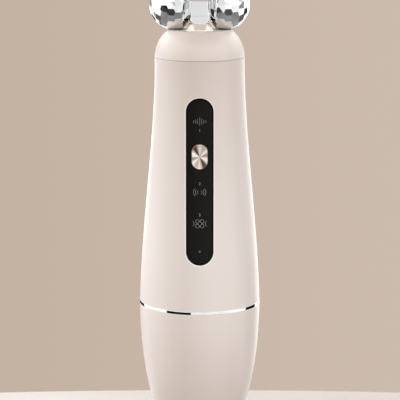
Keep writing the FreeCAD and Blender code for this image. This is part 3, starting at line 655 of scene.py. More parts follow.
def mesh_of(work, name):
    """Mesh of a finished bmesh, which is freed."""
    mesh = bpy.data.meshes.new(name)
    work.to_mesh(mesh)
    work.free()
    return mesh


def smooth(mesh, degrees):
    """Smooth shading, broken at edges sharper than an angle."""
    mesh.shade_smooth()
    mesh.set_sharp_from_angle(angle=math.radians(degrees))
    return mesh


# Turned shells


class Meridian:
    """Wall of a turned shell: a cubic curve of four (radius, height) poles, going down."""

    def __init__(self, *poles):
        self.poles = [Vector(pole) for pole in poles]

    def at(self, part):
        rest = 1.0 - part
        weights = (rest ** 3, 3 * rest ** 2 * part, 3 * rest * part ** 2, part ** 3)
        return sum((pole * weight for pole, weight in zip(self.poles, weights)), Vector((0.0, 0.0)))

    def outward(self, part):
        rest = 1.0 - part
        a, b, c, d = self.poles
        run = (b - a) * rest ** 2 + (c - b) * 2 * rest * part + (d - c) * part ** 2
        return Vector((-run.y, run.x)).normalized()

    def part(self, height):
        low, high = 0.0, 1.0
        for _ in range(HALVINGS):
            middle = (low + high) / 2
            if self.at(middle).y > height:
                low = middle
            else:
                high = middle
        return (low + high) / 2

    def radius(self, height):
        return self.at(self.part(height)).x


def body_meridian():
    sizes = shells()
    reach = (sizes.body_high - sizes.body_low) / 3
    return Meridian(
        (sizes.neck_radius, sizes.body_high),
        (sizes.neck_radius, sizes.body_high - reach),
        (sizes.flank_radius, sizes.body_low + reach),
        (sizes.grip_radius, sizes.body_low))


def tail_meridian():
    sizes = shells()
    span = sizes.tail_top - sizes.tail_low
    return Meridian(
        (sizes.grip_radius, sizes.tail_top),
        (sizes.grip_radius, sizes.tail_top - span * sizes.upper_share),
        (sizes.bulge_radius, sizes.tail_low + span * sizes.lower_share),
        (sizes.foot_radius, sizes.tail_low))


class Stadium:
    """Round-ended outline in the XZ plane, about a height on the axis."""

    def __init__(self, half_x, half_z, height):
        self.radius = min(half_x, half_z)
        self.reach = Vector((half_x - self.radius, half_z - self.radius))
        self.height = height

    def distance(self, x, z):
        past_x = max(abs(x) - self.reach.x, 0.0)
        past_z = max(abs(z - self.height) - self.reach.y, 0.0)
        return math.hypot(past_x, past_z) - self.radius

    def outline(self, grow=0.0, turn_steps=14, side_steps=40):
        """Points round the outline, which can be grown all round."""
        radius = self.radius + grow
        middle = Vector((0.0, self.height))
        corners = [middle + Vector((self.reach.x * x, self.reach.y * z)) for x, z in QUADRANTS]
        points = []
        for number, corner in enumerate(corners):
            for step in range(turn_steps):
                points.append(corner + radius * heading(number + step / turn_steps))
            end = corner + radius * heading(number + 1)
            run = corners[number + 1 - len(corners)] - corner
            if run.length > WELD:
                points += [end + run * step / side_steps for step in range(side_steps)]
        return points


def heading(quarters):
    """Unit vector at a number of quarter turns."""
    turn = quarters * math.pi / 2
    return Vector((math.cos(turn), math.sin(turn)))


class Skin:
    """A mesh under construction, with exact normals where its surface is known."""

    def __init__(self):
        self.mesh = bmesh.new()
        self.normals = {}

    def vert(self, place, normal=None):
        made = self.mesh.verts.new(place)
        if normal is not None:
            self.normals[made] = normal
        return made

    def ring(self, places):
        return [self.vert(place) for place in places]

    def circle(self, radius, height, facing):
        return self.ring(circle_places(radius, height, facing))

    def wall_ring(self, meridian, inset, facing, outline):
        """Ring on a shell's wall, over an outline in the XZ plane."""
        return self.ring([wall_spot(meridian, inset, facing, x, z)[0] for x, z in outline])

    def rolled_edge(self, meridian, facing, stadium, radius, side, proud=0.0, steps=5):
        """Rings that roll from a wall's face to an edge, from outside it (1) or inside it (-1)."""
        rings = []
        for step in range(1, steps + 1):
            across, down = heading(step / steps)
            outline = stadium.outline(side * radius * (1 - down))
            rings.append(self.wall_ring(meridian, radius * (1 - across) - proud, facing, outline))
        return rings

    def rounded_top(self, radius, top, rounds, facing, steps=4):
        """Circles that round the top edge of a shell."""
        rings = []
        for step in range(1, steps + 1):
            across, up = heading(step / steps)
            rings.append(self.circle(radius - rounds * (1 - across), top - rounds * (1 - up), facing))
        return rings

    def bridge(self, first, second):
        for index in range(len(first)):
            following = (index + 1) % len(first)
            self.mesh.faces.new((first[index], first[following], second[following], second[index]))

    def chain(self, *rings):
        for first, second in zip(rings[:-1], rings[1:]):
            self.bridge(first, second)

    def lid(self, ring):
        self.mesh.faces.new(ring)

    def fan(self, ring, place):
        tip = self.vert(place)
        for index in range(len(ring)):
            self.mesh.faces.new((ring[index], ring[(index + 1) % len(ring)], tip))

    def fill(self, loops, inner, keep, place_of):
        """Triangulate between loops of verts in the XZ plane, with extra inner points."""
        flat = [[vert.co.x, vert.co.z] for loop in loops for vert in loop] + inner
        verts = [vert for loop in loops for vert in loop] + [None] * len(inner)
        edges = []
        start = 0
        for loop in loops:
            size = len(loop)
            edges += [(start + k, start + (k + 1) % size) for k in range(size)]
            start += size
        scaled = [Vector(point) * TO_MM for point in flat]
        _, _, faces, origins, _, _ = delaunay_2d_cdt(scaled, edges, [], 1, 1e-7)
        for face in faces:
            sources = [origins[corner][0] for corner in face]
            middle_x = sum(flat[source][0] for source in sources) / len(sources)
            middle_z = sum(flat[source][1] for source in sources) / len(sources)
            if not keep(middle_x, middle_z):
                continue
            for source in sources:
                if verts[source] is None:
                    verts[source] = self.vert(*place_of(*flat[source]))
            self.mesh.faces.new([verts[source] for source in sources])

    def finished(self, degrees=SHARP_TURN):
        bmesh.ops.recalc_face_normals(self.mesh, faces=self.mesh.faces)
        self.mesh.verts.index_update()
        exact = {vert.index: normal for vert, normal in self.normals.items()}
        mesh = smooth(mesh_of(self.mesh, "skin"), degrees)
        keep_auto = Vector((0.0, 0.0, 0.0))
        mesh.normals_split_custom_set_from_vertices(
            [exact.get(index, keep_auto) for index in range(len(mesh.vertices))])
        return mesh


def circle_places(radius, height, facing):
    """Places round a shell, from the side away from the facing one."""
    columns = shells().columns
    turns = [2 * math.pi * column / columns - math.pi for column in range(columns)]
    return [Vector((radius * math.sin(turn), facing * radius * math.cos(turn), height)) for turn in turns]


def wall_normal(outward, inset, place):
    """Normal at a place on a shell's wall, turned inwards on an inner wall."""
    across, up = outward
    radius = math.hypot(place.x, place.y)
    side = 1.0 if inset < INNER_WALL else -1.0
    return Vector((across * place.x / radius, across * place.y / radius, up)) * side


def wall_spot(meridian, inset, facing, x, z):
    """Place and normal on a shell's wall, given its X and Z."""
    part = meridian.part(z)
    radius = meridian.at(part).x - inset
    place = Vector((x, facing * math.sqrt(radius ** 2 - x ** 2), z))
    return place, wall_normal(meridian.outward(part), inset, place)


def wall_rows(skin, meridian, inset, heights, facing):
    """Rows of points up a shell's wall."""
    rows = []
    for height in heights:
        outward = meridian.outward(meridian.part(height))
        places = circle_places(meridian.radius(height) - inset, height, facing)
        rows.append([skin.vert(place, wall_normal(outward, inset, place)) for place in places])
    return rows


def patch_limits(meridian, inset, heights, opening):
    """First and last row and column of the patch of grid that an opening takes."""
    margin = shells().patch_margin
    half_width = opening.reach.x + opening.radius + margin
    half_height = opening.reach.y + opening.radius + margin
    first = max(k for k, height in enumerate(heights) if height <= opening.height - half_height)
    last = min(k for k, height in enumerate(heights) if height >= opening.height + half_height)
    narrow = min(meridian.radius(height) - inset for height in heights[first:last + 1])
    columns = shells().columns
    span = math.ceil(math.asin(half_width / narrow) * columns / (2 * math.pi))
    return first, last, columns // 2 - span, columns // 2 + span


def pierced_wall(skin, meridian, inset, heights, facing, opening, grow):
    """Grid of a shell's wall with a round-ended opening; gives its low, high and opening rings."""
    rows = wall_rows(skin, meridian, inset, heights, facing)
    first, last, left, right = patch_limits(meridian, inset, heights, opening)
    columns = shells().columns
    for row, (lower, upper) in enumerate(zip(rows[:-1], rows[1:])):
        for column in range(columns):
            if first <= row < last and left <= column < right:
                continue
            following = (column + 1) % columns
            skin.mesh.faces.new((lower[column], lower[following], upper[following], upper[column]))
    border = rows[first][left:right] + [rows[k][right] for k in range(first, last)]
    border += rows[last][right:left:-1] + [rows[k][left] for k in range(last, first, -1)]
    edge = [skin.vert(*wall_spot(meridian, inset, facing, x, z)) for x, z in opening.outline(grow)]
    inner = []
    for row in rows[first + 1:last]:
        for vert in row[left + 1:right]:
            if opening.distance(vert.co.x, vert.co.z) > shells().patch_clear + grow:
                inner.append([vert.co.x, vert.co.z])
            skin.normals.pop(vert)
            skin.mesh.verts.remove(vert)
    skin.fill(
        [border, edge], inner,
        lambda x, z: opening.distance(x, z) > grow * 0.9,
        lambda x, z: wall_spot(meridian, inset, facing, x, z))
    return rows[0], rows[-1], edge


def spread(low, high, steps):
    return [low + (high - low) * step / steps for step in range(steps + 1)]


def body_sleeve_mesh():
    """Body shell with a rolled lip, a seat and a window for the lens."""
    sizes = shells()
    meridian = body_meridian()
    half = box_half("control_panel")
    fit, ledge, lip = panel().seat_fit, panel().ledge, panel().seat_lip
    seat = Stadium(half.x + fit, half.z + fit, box_middle("control_panel").z)
    window = Stadium(half.x - ledge, half.z - ledge, seat.height)
    skin = Skin()
    heights = spread(sizes.body_low, sizes.body_high - sizes.seam_round, sizes.rows)
    low, high, edge = pierced_wall(skin, meridian, 0.0, heights, FRONT, seat, lip)
    inner_heights = spread(sizes.body_low, sizes.body_high, sizes.rows)
    inner_low, inner_high, inner_edge = pierced_wall(
        skin, meridian, sizes.wall, inner_heights, FRONT, window, 0.0)
    rings = [edge] + skin.rolled_edge(meridian, FRONT, seat, lip, 1)
    for outline in (seat.outline(), window.outline()):
        rings.append(skin.wall_ring(meridian, panel().seat_depth, FRONT, outline))
    skin.chain(*rings, inner_edge)
    rounds = skin.rounded_top(sizes.neck_radius, sizes.body_high, sizes.seam_round, FRONT)
    skin.chain(high, *rounds, inner_high)
    skin.bridge(low, inner_low)
    return skin.finished()


def foot_fillet(meridian, radius, floor):
    """Part of the wall where a rounding to the floor starts, and the rounding's middle."""
    low, high = 0.5, 1.0
    for _ in range(HALVINGS):
        part = (low + high) / 2
        if meridian.at(part).y - meridian.outward(part).y * radius > floor + radius:
            low = part
        else:
            high = part
    return part, meridian.at(part) - meridian.outward(part) * radius


def tail_cup_mesh():
    """Tail with its rounded foot, the pad's recess and the inlet's recess at the back."""
    sizes = shells()
    meridian = tail_meridian()
    part, middle = foot_fillet(meridian, sizes.foot_round, sizes.tail_low)
    start = meridian.at(part)
    heights = spread(start.y, sizes.tail_top - sizes.rim_round, sizes.rows)
    inlet = box_middle("port_shell")
    recess = Stadium(panel().inlet_width / 2, panel().inlet_rise / 2, inlet.z)
    lip = panel().seat_lip
    skin = Skin()
    low, high, edge = pierced_wall(skin, meridian, 0.0, heights, BACK, recess, lip)
    rings = [edge] + skin.rolled_edge(meridian, BACK, recess, lip, 1)
    port = box_half("port_shell") + Vector((1, 0, 1)) * panel().inlet_fit
    mouth = Stadium(port.x, port.z, inlet.z)
    back, face = (corner.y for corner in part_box("port_shell"))
    for outline, y in ((recess.outline(), face), (mouth.outline(), face), (mouth.outline(), back)):
        rings.append(skin.ring([Vector((x, y, z)) for x, z in outline]))
    skin.chain(*rings)
    skin.lid(rings[-1])
    rounds = [high] + skin.rounded_top(sizes.grip_radius, sizes.tail_top, sizes.rim_round, BACK)
    rounds.append(skin.circle(sizes.grip_radius - sizes.wall, sizes.tail_top, BACK))
    skin.chain(*rounds)
    skin.lid(rounds[-1])
    across, up = start - middle
    foot = [low]
    for turn in spread(math.atan2(up, across), -math.pi / 2, 10)[1:]:
        place = middle + Vector((math.cos(turn), math.sin(turn))) * sizes.foot_round
        foot.append(skin.circle(*place, BACK))
    for height in (sizes.tail_low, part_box("base_pad")[1].z):
        foot.append(skin.circle(box_half("base_pad").x, height, BACK))
    skin.chain(*foot)
    skin.lid(foot[-1])
    return skin.finished()


# Geometry node trees and the pieces turned with them


class GeometryBench(Bench):
    """A geometry node tree with named inputs."""

    def __init__(self, name, inputs):
        super().__init__(bpy.data.node_groups.new(name, "GeometryNodeTree"))
        face = self.tree.interface
        face.new_socket("Geometry", in_out="INPUT", socket_type="NodeSocketGeometry")
        self.keys = {}
        for label, kind in inputs:
            self.keys[label] = face.new_socket(label, in_out="INPUT", socket_type=kind).identifier
        face.new_socket("Geometry", in_out="OUTPUT", socket_type="NodeSocketGeometry")
        self.source = self.add("NodeGroupInput")

    def given(self, label):
        return self.out(self.source, label)

    def close(self, geometry):
        """End the tree: instances made real, smooth faces, and the given material."""
        real = self.add("GeometryNodeRealizeInstances", sockets={0: geometry})
        soft = self.add("GeometryNodeSetShadeSmooth", sockets={"Geometry": self.out(real)})
        painted = self.add(
            "GeometryNodeSetMaterial",
            sockets={"Geometry": self.out(soft), "Material": self.given("Material")})
        self.add("NodeGroupOutput", sockets={"Geometry": self.out(painted)})
        return self

    def applied(self, data, values):
        """Mesh that the tree makes from some starting data."""
        def dress(carrier):
            modifier = carrier.modifiers.new("tree", "NODES")
            modifier.node_group = self.tree
            for label, value in values.items():
                modifier[self.keys[label]] = value

        return baked(data, dress)


def lathe_tree():
    """Turns a line of profile points about the upright axis."""
    bench = GeometryBench(
        "lathe", [("Segments", "NodeSocketInt"), ("Material", "NodeSocketMaterial")])
    profile = bench.given("Geometry")
    counted = bench.add("GeometryNodeAttributeDomainSize", sockets={"Geometry": profile})
    size = bench.out(counted, "Point Count")
    segments = bench.given("Segments")
    grid = bench.add(
        "GeometryNodeMeshGrid", sockets={"Vertices X": segments + 1.0, "Vertices Y": size})
    index = bench.out(bench.add("GeometryNodeInputIndex"))
    row = index.math("MODULO", size)
    column = (index / size).math("FLOOR")
    spot = bench.add(
        "GeometryNodeSampleIndex", {"data_type": "FLOAT_VECTOR", "domain": "POINT"},
        {"Geometry": profile, "Index": row})
    bench.feed(spot.inputs["Value"], bench.out(bench.add("GeometryNodeInputPosition")))
    turn = bench.add(
        "ShaderNodeVectorRotate", {"rotation_type": "Z_AXIS"},
        {"Vector": bench.out(spot), "Angle": column / segments * (2 * math.pi)})
    moved = bench.add(
        "GeometryNodeSetPosition",
        sockets={"Geometry": bench.out(grid, "Mesh"), "Position": bench.out(turn)})
    merged = bench.add(
        "GeometryNodeMergeByDistance", sockets={"Geometry": bench.out(moved), "Distance": WELD})
    return bench.close(bench.out(merged))


def profile_mesh(points):
    mesh = bpy.data.meshes.new("profile")
    mesh.from_pydata([(radius, 0.0, height) for radius, height in points], [], [])
    return mesh


def arc(middle, half_width, half_height, begin, end, steps):
    """Points on part of an ellipse, between two angles in degrees."""
    turns = spread(math.radians(begin), math.radians(end), steps)
    return [middle + Vector((half_width * math.cos(turn), half_height * math.sin(turn))) for turn in turns]


def rounding(middle, radius, begin, end, steps=8):
    """Round stretch of a profile, between two angles in degrees."""
    return arc(middle, radius, radius, begin, end, steps)


def turned_mesh(points, slot):
    """Closed mesh of revolution with its faces turned outwards."""
    values = {"Segments": shells().columns, "Material": finish_of(slot)}
    mesh = lathe_tree().applied(profile_mesh(points), values)
    work = bmesh.new()
    work.from_mesh(mesh)
    bmesh.ops.remove_doubles(work, verts=work.verts, dist=WELD)
    bmesh.ops.recalc_face_normals(work, faces=work.faces)
    work.to_mesh(mesh)
    work.free()
    return smooth(mesh, SHARP_TURN)


def cap_profile():
    """Half section of the neck cap: seam lip, domed shoulder, rounded crown, flat top."""
    sizes = shells()
    low = sizes.body_high + sizes.seam_gap
    centre = Vector((sizes.neck_radius - sizes.dome_radius, low))
    lip = Vector((sizes.neck_radius - sizes.seam_round, low + sizes.seam_round))
    inner = sizes.dome_radius - sizes.crown_round
    rise = sizes.cap_top - sizes.crown_round - low
    begin = math.degrees(math.asin(rise / inner))
    crown = centre + Vector((math.sqrt(inner ** 2 - rise ** 2), rise))
    above_lip = math.degrees(sizes.seam_round / sizes.dome_radius)
    points = [Vector((0.0, low))]
    points += rounding(lip, sizes.seam_round, -90.0, 0.0, 5)
    points += rounding(centre, sizes.dome_radius, above_lip, begin, 40)
    points += rounding(crown, sizes.crown_round, begin, 90.0)[1:]
    points.append(Vector((0.0, sizes.cap_top)))
    return points


def carved(mesh, cutters):
    """Mesh with other closed meshes cut out of it."""
    tools = [new_object("cutter", cutter) for cutter in cutters]

    def dress(carrier):
        for tool in tools:
            change = carrier.modifiers.new("cut", "BOOLEAN")
            change.operation = "DIFFERENCE"
            change.solver = "EXACT"
            change.object = tool

    result = baked(mesh, dress)
    for tool in tools:
        bpy.data.objects.remove(tool)
    return result


def roller_middle(side):
    joint = next(j for j in frame["joints"] if j["name"] == side + "_roller_spin")
    return Vector(joint["pos_m"])


def pocket_mesh(middle):
    """Ball a little larger than a roller."""
    work = bmesh.new()
    radius = head().roller_radius + head().pocket_gap
    bmesh.ops.create_uvsphere(work, u_segments=128, v_segments=96, radius=radius)
    bmesh.ops.translate(work, verts=work.verts, vec=middle)
    return mesh_of(work, "pocket")


def ring_profile(node, rounds):
    """Half section of a plain ring with its outer edges rounded."""
    low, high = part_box(node)
    inner = shells().grip_radius - shells().wall
    outer = min(high.x, high.y, -low.x, -low.y)
    points = [Vector((inner, low.z))]
    points += rounding(Vector((outer - rounds, low.z + rounds)), rounds, -90.0, 0.0)
    points += rounding(Vector((outer - rounds, high.z - rounds)), rounds, 0.0, 90.0)
    points += [Vector((inner, high.z)), Vector((inner, low.z))]
    return points


def pad_profile():
    """Half section of the foot pad, rounded at its lower edge."""
    low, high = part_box("base_pad")
    rounds = shells().rim_round
    points = [Vector((0.0, low.z))]
    points += rounding(Vector((high.x - rounds, low.z + rounds)), rounds, -90.0, 0.0)
    points += [Vector((high.x, high.z)), Vector((0.0, high.z))]
    return points


# Control panel


def lens_mesh():
    """Lens that follows the body's wall, with a rounded rim, the button's hole and the light's."""
    meridian = body_meridian()
    sizes = panel()
    half = box_half("control_panel")
    rim = Stadium(half.x, half.z, box_middle("control_panel").z)
    hole = Stadium(
        sizes.button_width / 2 + sizes.button_gap, sizes.button_length / 2 + sizes.button_gap,
        box_middle("power_button").z)
    dot = Stadium(sizes.pipe_radius, sizes.pipe_radius, box_middle("light_pipe").z)
    rounds = sizes.edge_round
    skin = Skin()

    def front(x, z):
        return wall_spot(meridian, -sizes.proud, FRONT, x, z)

    def behind(x, z):
        return wall_spot(meridian, sizes.seat_depth, FRONT, x, z)

    def face(place_of, outlines):
        loops = [[skin.vert(*place_of(x, z)) for x, z in outline] for outline in outlines]
        pitch = sizes.lens_pitch
        columns, rows = math.ceil(half.x / pitch), math.ceil(half.z / pitch)
        inner = []
        for column in range(-columns, columns + 1):
            for row in range(-rows, rows + 1):
                x = column * pitch
                z = rim.height + row * pitch
                clear = min(hole.distance(x, z), dot.distance(x, z), -rim.distance(x, z) - rounds)
                if clear > pitch * 0.6:
                    inner.append([x, z])
        skin.fill(
            loops, inner,
            lambda x, z: hole.distance(x, z) > 0 and dot.distance(x, z) > 0,
            place_of)
        return loops

    outer, button, light = face(front, [rim.outline(-rounds), hole.outline(), dot.outline()])
    back_outer, back_button, back_light = face(behind, [rim.outline(), hole.outline(), dot.outline()])
    rings = skin.rolled_edge(meridian, FRONT, rim, rounds, -1, sizes.proud)
    skin.chain(outer, *rings, back_outer)
    skin.bridge(button, back_button)
    skin.bridge(light, back_light)
    return skin.finished()


def button_mesh():
    """Oval button: straight skirt, rounded rim, a fine step and a shallow spun hollow."""
    sizes = panel()
    middle = box_middle("power_button").z
    oval = Stadium(sizes.button_width / 2, sizes.button_length / 2, middle)
    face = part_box("power_button")[0].y
    back = face + sizes.button_skirt
    rounds = sizes.button_round
    skin = Skin()
    rings = [skin.ring([Vector((x, back, z)) for x, z in oval.outline()])]
    for turn in spread(0.0, 1.0, 6):
        down, across = heading(turn)
        y = face + rounds * (1 - across)
        rings.append(skin.ring([Vector((x, y, z)) for x, z in oval.outline(rounds * (down - 1))]))
    inner = oval.outline(-rounds)
    hollow_shares = ((0.985, 0.0), (0.97, 0.35), (0.9, 0.5), (0.7, 0.76), (0.45, 0.93), (0.2, 0.99))
    for scale, depth in hollow_shares:
        y = face + sizes.button_dish * depth
        rings.append(skin.ring([Vector((x * scale, y, middle + (z - middle) * scale)) for x, z in inner]))
    skin.chain(*rings)
    skin.fan(rings[-1], Vector((0.0, face + sizes.button_dish, middle)))
    skin.lid(rings[0])
    return skin.finished(40.0)


def drape_tree():
    """Sweeps a flat ribbon along strokes drawn in the XZ plane and lays it on the lens."""
    bench = GeometryBench("printed strokes", [
        ("Stroke Width", "NodeSocketFloat"), ("Thickness", "NodeSocketFloat"),
        ("Material", "NodeSocketMaterial")])
    width = bench.given("Stroke Width")
    section = bench.add(
        "GeometryNodeCurvePrimitiveCircle", sockets={"Resolution": 8, "Radius": width / 2.0})
    swept = bench.add("GeometryNodeCurveToMesh", sockets={
        "Curve": bench.given("Geometry"), "Profile Curve": bench.out(section), "Fill Caps": True})
    x, y, z = bench.split(bench.out(bench.add("GeometryNodeInputPosition")))
    laid = lens_depth(x, z) + y * (bench.given("Thickness") * 2.0 / width)
    moved = bench.add(
        "GeometryNodeSetPosition",
        sockets={"Geometry": bench.out(swept), "Position": bench.join(x, laid, z)})
    return bench.close(bench.out(moved))


def lens_depth(x, z):
    """Y of the lens's face, for numbers or for values in a node tree."""
    sizes = shells()
    part = (sizes.body_high - z) / (sizes.body_high - sizes.body_low)
    rest = 1.0 - part
    radius = sizes.neck_radius * (rest ** 3 + 3 * rest ** 2 * part)
    radius = radius + sizes.flank_radius * 3 * rest * part ** 2 + sizes.grip_radius * part ** 3
    radius = radius + panel().proud
    return -1.0 * (radius ** 2 - x ** 2) ** 0.5


def bar_strokes():
    """Upright bars, tallest in the middle."""
    sizes = marks()
    strokes = []
    for step in range(-3, 4):
        x = step * sizes.bar_pitch
        half = sizes.bar_length / 2 * sizes.bar_fall ** abs(step)
        strokes.append([(x, sizes.bars_height - half), (x, sizes.bars_height + half)])
    return strokes


def wave_strokes():
    """Two facing groups of three bowed lines, longest outside."""
    sizes = marks()
    strokes = []
    for side in (1, -1):
        for step in range(3):
            half = sizes.wave_length / 2 * sizes.wave_growth ** step
            reach = sizes.wave_start + step * sizes.wave_pitch
            middle = Vector((side * (reach - half), sizes.waves_height))
            strokes.append(arc(middle, side * half, half, -sizes.wave_turn, sizes.wave_turn, 20))
    return strokes


def loop_strokes():
    """Two long loops that cross, between a pair of bowed lines."""
    sizes = marks()
    height = Vector((0.0, sizes.loops_height))
    loop = Stadium(sizes.loop_half_length, sizes.loop_half_width, 0.0).outline(0.0, 8, 4)
    loop.append(loop[0])
    strokes = []
    for side in (1, -1):
        tilt = Matrix.Rotation(side * sizes.loop_tilt, 2)
        strokes.append([height + tilt @ point for point in loop])
        middle = height + Vector((side * (sizes.bow_start + sizes.bow_half_width), 0.0))
        half_width = -side * sizes.bow_half_width
        strokes.append(arc(middle, half_width, sizes.bow_half_height, -sizes.bow_turn, sizes.bow_turn, 20))
    return strokes


def stroke_curve(strokes):
    curve = bpy.data.curves.new("strokes", "CURVE")
    curve.dimensions = "3D"
    for stroke in strokes:
        spline = curve.splines.new("POLY")
        spline.points.add(len(stroke) - 1)
        for point, (x, z) in zip(spline.points, stroke):
            point.co = (x, 0.0, z, 1.0)
    return curve


def figure_mesh(text, height):
    """Printed number laid on the lens at a height."""
    words = bpy.data.curves.new("figure", "FONT")
    words.body = text
    words.size = marks().figure_size
    words.extrude = marks().thickness
    words.align_x = "CENTER"
    words.align_y = "CENTER"
    mesh = baked(words)
    for vert in mesh.vertices:
        x, up, out = vert.co
        z = height + up
        vert.co = (x, lens_depth(x, z) - out, z)
    return mesh


def joined(meshes):
    work = bmesh.new()
    for mesh in meshes:
        work.from_mesh(mesh)
    return mesh_of(work, "joined")


# Roller head


def broaden_post(work):
    """Bring the post's sides up to the rollers and make its upright bevels wide and flat."""
    sizes = head()
    foot = min(vert.co.z for vert in work.verts)
    for vert in work.verts:
        climb = (vert.co.z - foot - sizes.post_low) / (sizes.post_high - sizes.post_low)
        side = sizes.post_half_width - sizes.post_narrowing * min(max(climb, 0.0), 1.0)
        part = min((abs(vert.co.x) - side) / sizes.bevel_width + 1.0, 1.0)
        if part < WELD or vert.co.z < foot + sizes.flare_height + sizes.post_corner:
            continue
        vert.co.x += math.copysign(part * (sizes.post_reach - side), vert.co.x)
        if abs(vert.co.y) > sizes.bevel_depth - sizes.post_edge:
            vert.co.y += math.copysign(part * sizes.post_bevel, vert.co.y)
            if vert.co.z > foot + sizes.post_roof:
                vert.co.z -= part * sizes.post_bevel


def softened_mesh(node, width, least_turn, reshape=None):
    """Copy of a CAD node's mesh with its flats made whole, reshaped and its sharp edges softened."""
    work = bmesh.new()
    work.from_mesh(frame["nodes"][node].data)
    bmesh.ops.remove_doubles(work, verts=work.verts, dist=WELD)
    bmesh.ops.dissolve_limit(
        work, angle_limit=math.radians(0.6), verts=work.verts, edges=work.edges)
    if reshape:
        reshape(work)
    mesh = mesh_of(work, node)
    mesh.shade_smooth()

    def dress(carrier):
        soft = carrier.modifiers.new("edges", "BEVEL")
        soft.width = width
        soft.segments = 3
        soft.limit_method = "ANGLE"
        soft.angle_limit = math.radians(least_turn)
        soft.harden_normals = True

    return baked(mesh, dress)


# Steps that dress the handle


class ROLLER_HANDLE_OT_finishes(bpy.types.Operator):
    """Make one finish for each material slot and put it on the CAD nodes that show it"""
    bl_idname = "roller_handle.finishes"
    bl_label = "Finishes"

    def execute(self, context):
        for slot, material in slot_finishes().items():
            context.scene["slot_" + slot] = material.name
        for part in frame["record"]["subparts"]:
            node = frame["nodes"][part["node"]]
            node.data.materials.clear()
            node.data.materials.append(finish_of(part["material_slot"]))
        return {"FINISHED"}


class ROLLER_HANDLE_OT_body_sleeve(bpy.types.Operator):
    """Build the body shell with its seat for the lens"""
    bl_idname = "roller_handle.body_sleeve"
    bl_label = "Body sleeve"

    def execute(self, context):
        new_piece("body_sleeve", body_sleeve_mesh(), "beige_shell", HOUSING, "body_shell")
        return {"FINISHED"}


class ROLLER_HANDLE_OT_tail(bpy.types.Operator):
    """Build the tail with its foot and the recess for the charging inlet"""
    bl_idname = "roller_handle.tail"
    bl_label = "Tail"

    def execute(self, context):
        new_piece("tail", tail_cup_mesh(), "beige_shell", HOUSING, "tail_cup")
        return {"FINISHED"}


class ROLLER_HANDLE_OT_dome(bpy.types.Operator):
    """Turn the neck cap and carve the rollers' pockets out of it"""
    bl_idname = "roller_handle.dome"
    bl_label = "Neck dome"

    def execute(self, context):
        solid = turned_mesh(cap_profile(), "beige_shell")
        dome = smooth(carved(solid, [pocket_mesh(roller_middle(side)) for side in SIDES]), SHARP_TURN)
        moulding = satin_moulding("cap_moulding", tints().cap, tints().cap_shade)
        new_piece("neck_dome", dome, "beige_shell", HOUSING, "neck_cap", material=moulding)
        return {"FINISHED"}


class ROLLER_HANDLE_OT_turned_trim(bpy.types.Operator):
    """Turn the chrome ring and the foot pad"""
    bl_idname = "roller_handle.turned_trim"
    bl_label = "Ring and pad"

    def execute(self, context):
        ring = turned_mesh(ring_profile("trim_ring", shells().ring_round), "mirror_chrome")
        new_piece("bright_ring", ring, "mirror_chrome", HOUSING, "trim_ring")
        pad = turned_mesh(pad_profile(), "soft_grey")
        new_piece("foot_pad", pad, "soft_grey", HOUSING, "base_pad")
        return {"FINISHED"}


class ROLLER_HANDLE_OT_lens(bpy.types.Operator):
    """Build the black lens of the control panel"""
    bl_idname = "roller_handle.lens"
    bl_label = "Panel lens"

    def execute(self, context):
        new_piece("panel_lens", lens_mesh(), "gloss_black", HOUSING, "control_panel")
        return {"FINISHED"}


class ROLLER_HANDLE_OT_button(bpy.types.Operator):
    """Build the oval spun button"""
    bl_idname = "roller_handle.button"
    bl_label = "Button"

    def execute(self, context):
        new_piece("oval_button", button_mesh(), "champagne_metal", "power_button", "power_button")
        return {"FINISHED"}


class ROLLER_HANDLE_OT_print(bpy.types.Operator):
    """Print the pictograms and the plain numbers on the lens"""
    bl_idname = "roller_handle.print"
    bl_label = "Panel print"

    def execute(self, context):
        sizes = marks()
        ink = screen_print()
        strokes = stroke_curve(bar_strokes() + wave_strokes() + loop_strokes())
        values = {"Stroke Width": sizes.stroke, "Thickness": sizes.thickness, "Material": ink}
        pictograms = drape_tree().applied(strokes, values)
        new_piece("panel_marks", pictograms, "gloss_black", HOUSING, material=ink)
        places = (("1", sizes.one_height), ("2", sizes.two_height), ("3", sizes.three_height))
        figures = joined([figure_mesh(text, height) for text, height in places])
        new_piece("panel_figures", figures, "gloss_black", HOUSING, material=ink)
        return {"FINISHED"}


class ROLLER_HANDLE_OT_rollers(bpy.types.Operator):
    """Finish the two faceted rollers"""
    bl_idname = "roller_handle.rollers"
    bl_label = "Rollers"

    def execute(self, context):
        for side in SIDES:
            node = side + "_roller"
            ball = softened_mesh(node, head().facet_edge, 4.0)
            new_piece(side + "_ball", ball, "mirror_chrome", node, node)
        return {"FINISHED"}


class ROLLER_HANDLE_OT_bracket(bpy.types.Operator):
    """Finish the post that carries the rollers"""
    bl_idname = "roller_handle.bracket"
    bl_label = "Post"

    def execute(self, context):
        post = softened_mesh("roller_bracket", head().post_edge, 16.0, broaden_post)
        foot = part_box("roller_bracket")[0].z
        # painted reflection: the post's plating is warm below the flare's top, standing in for its reflection of
        # the beige cap
        plating = mirror_plating("post_plating", 0.02, foot + head().flare_height, foot + head().post_low)
        new_piece("roller_post", post, "mirror_chrome", HOUSING, "roller_bracket", material=plating)
        return {"FINISHED"}


# Stage


def table_material():
    """Pale table top, which lends the handle less light than it shows."""
    finish = Finish("table_top")
    drift = finish.noise(9.0, 4.0)
    top = finish.blend(drift, linear(stage().table), dimmed(stage().table, 0.97))
    seen = finish.out(finish.add("ShaderNodeLightPath"), "Is Camera Ray")
    return finish.set({
        "Base Color": finish.blend(seen, linear(stage().bounce), top),
        "Roughness": 0.6 + drift * 0.1,
    })


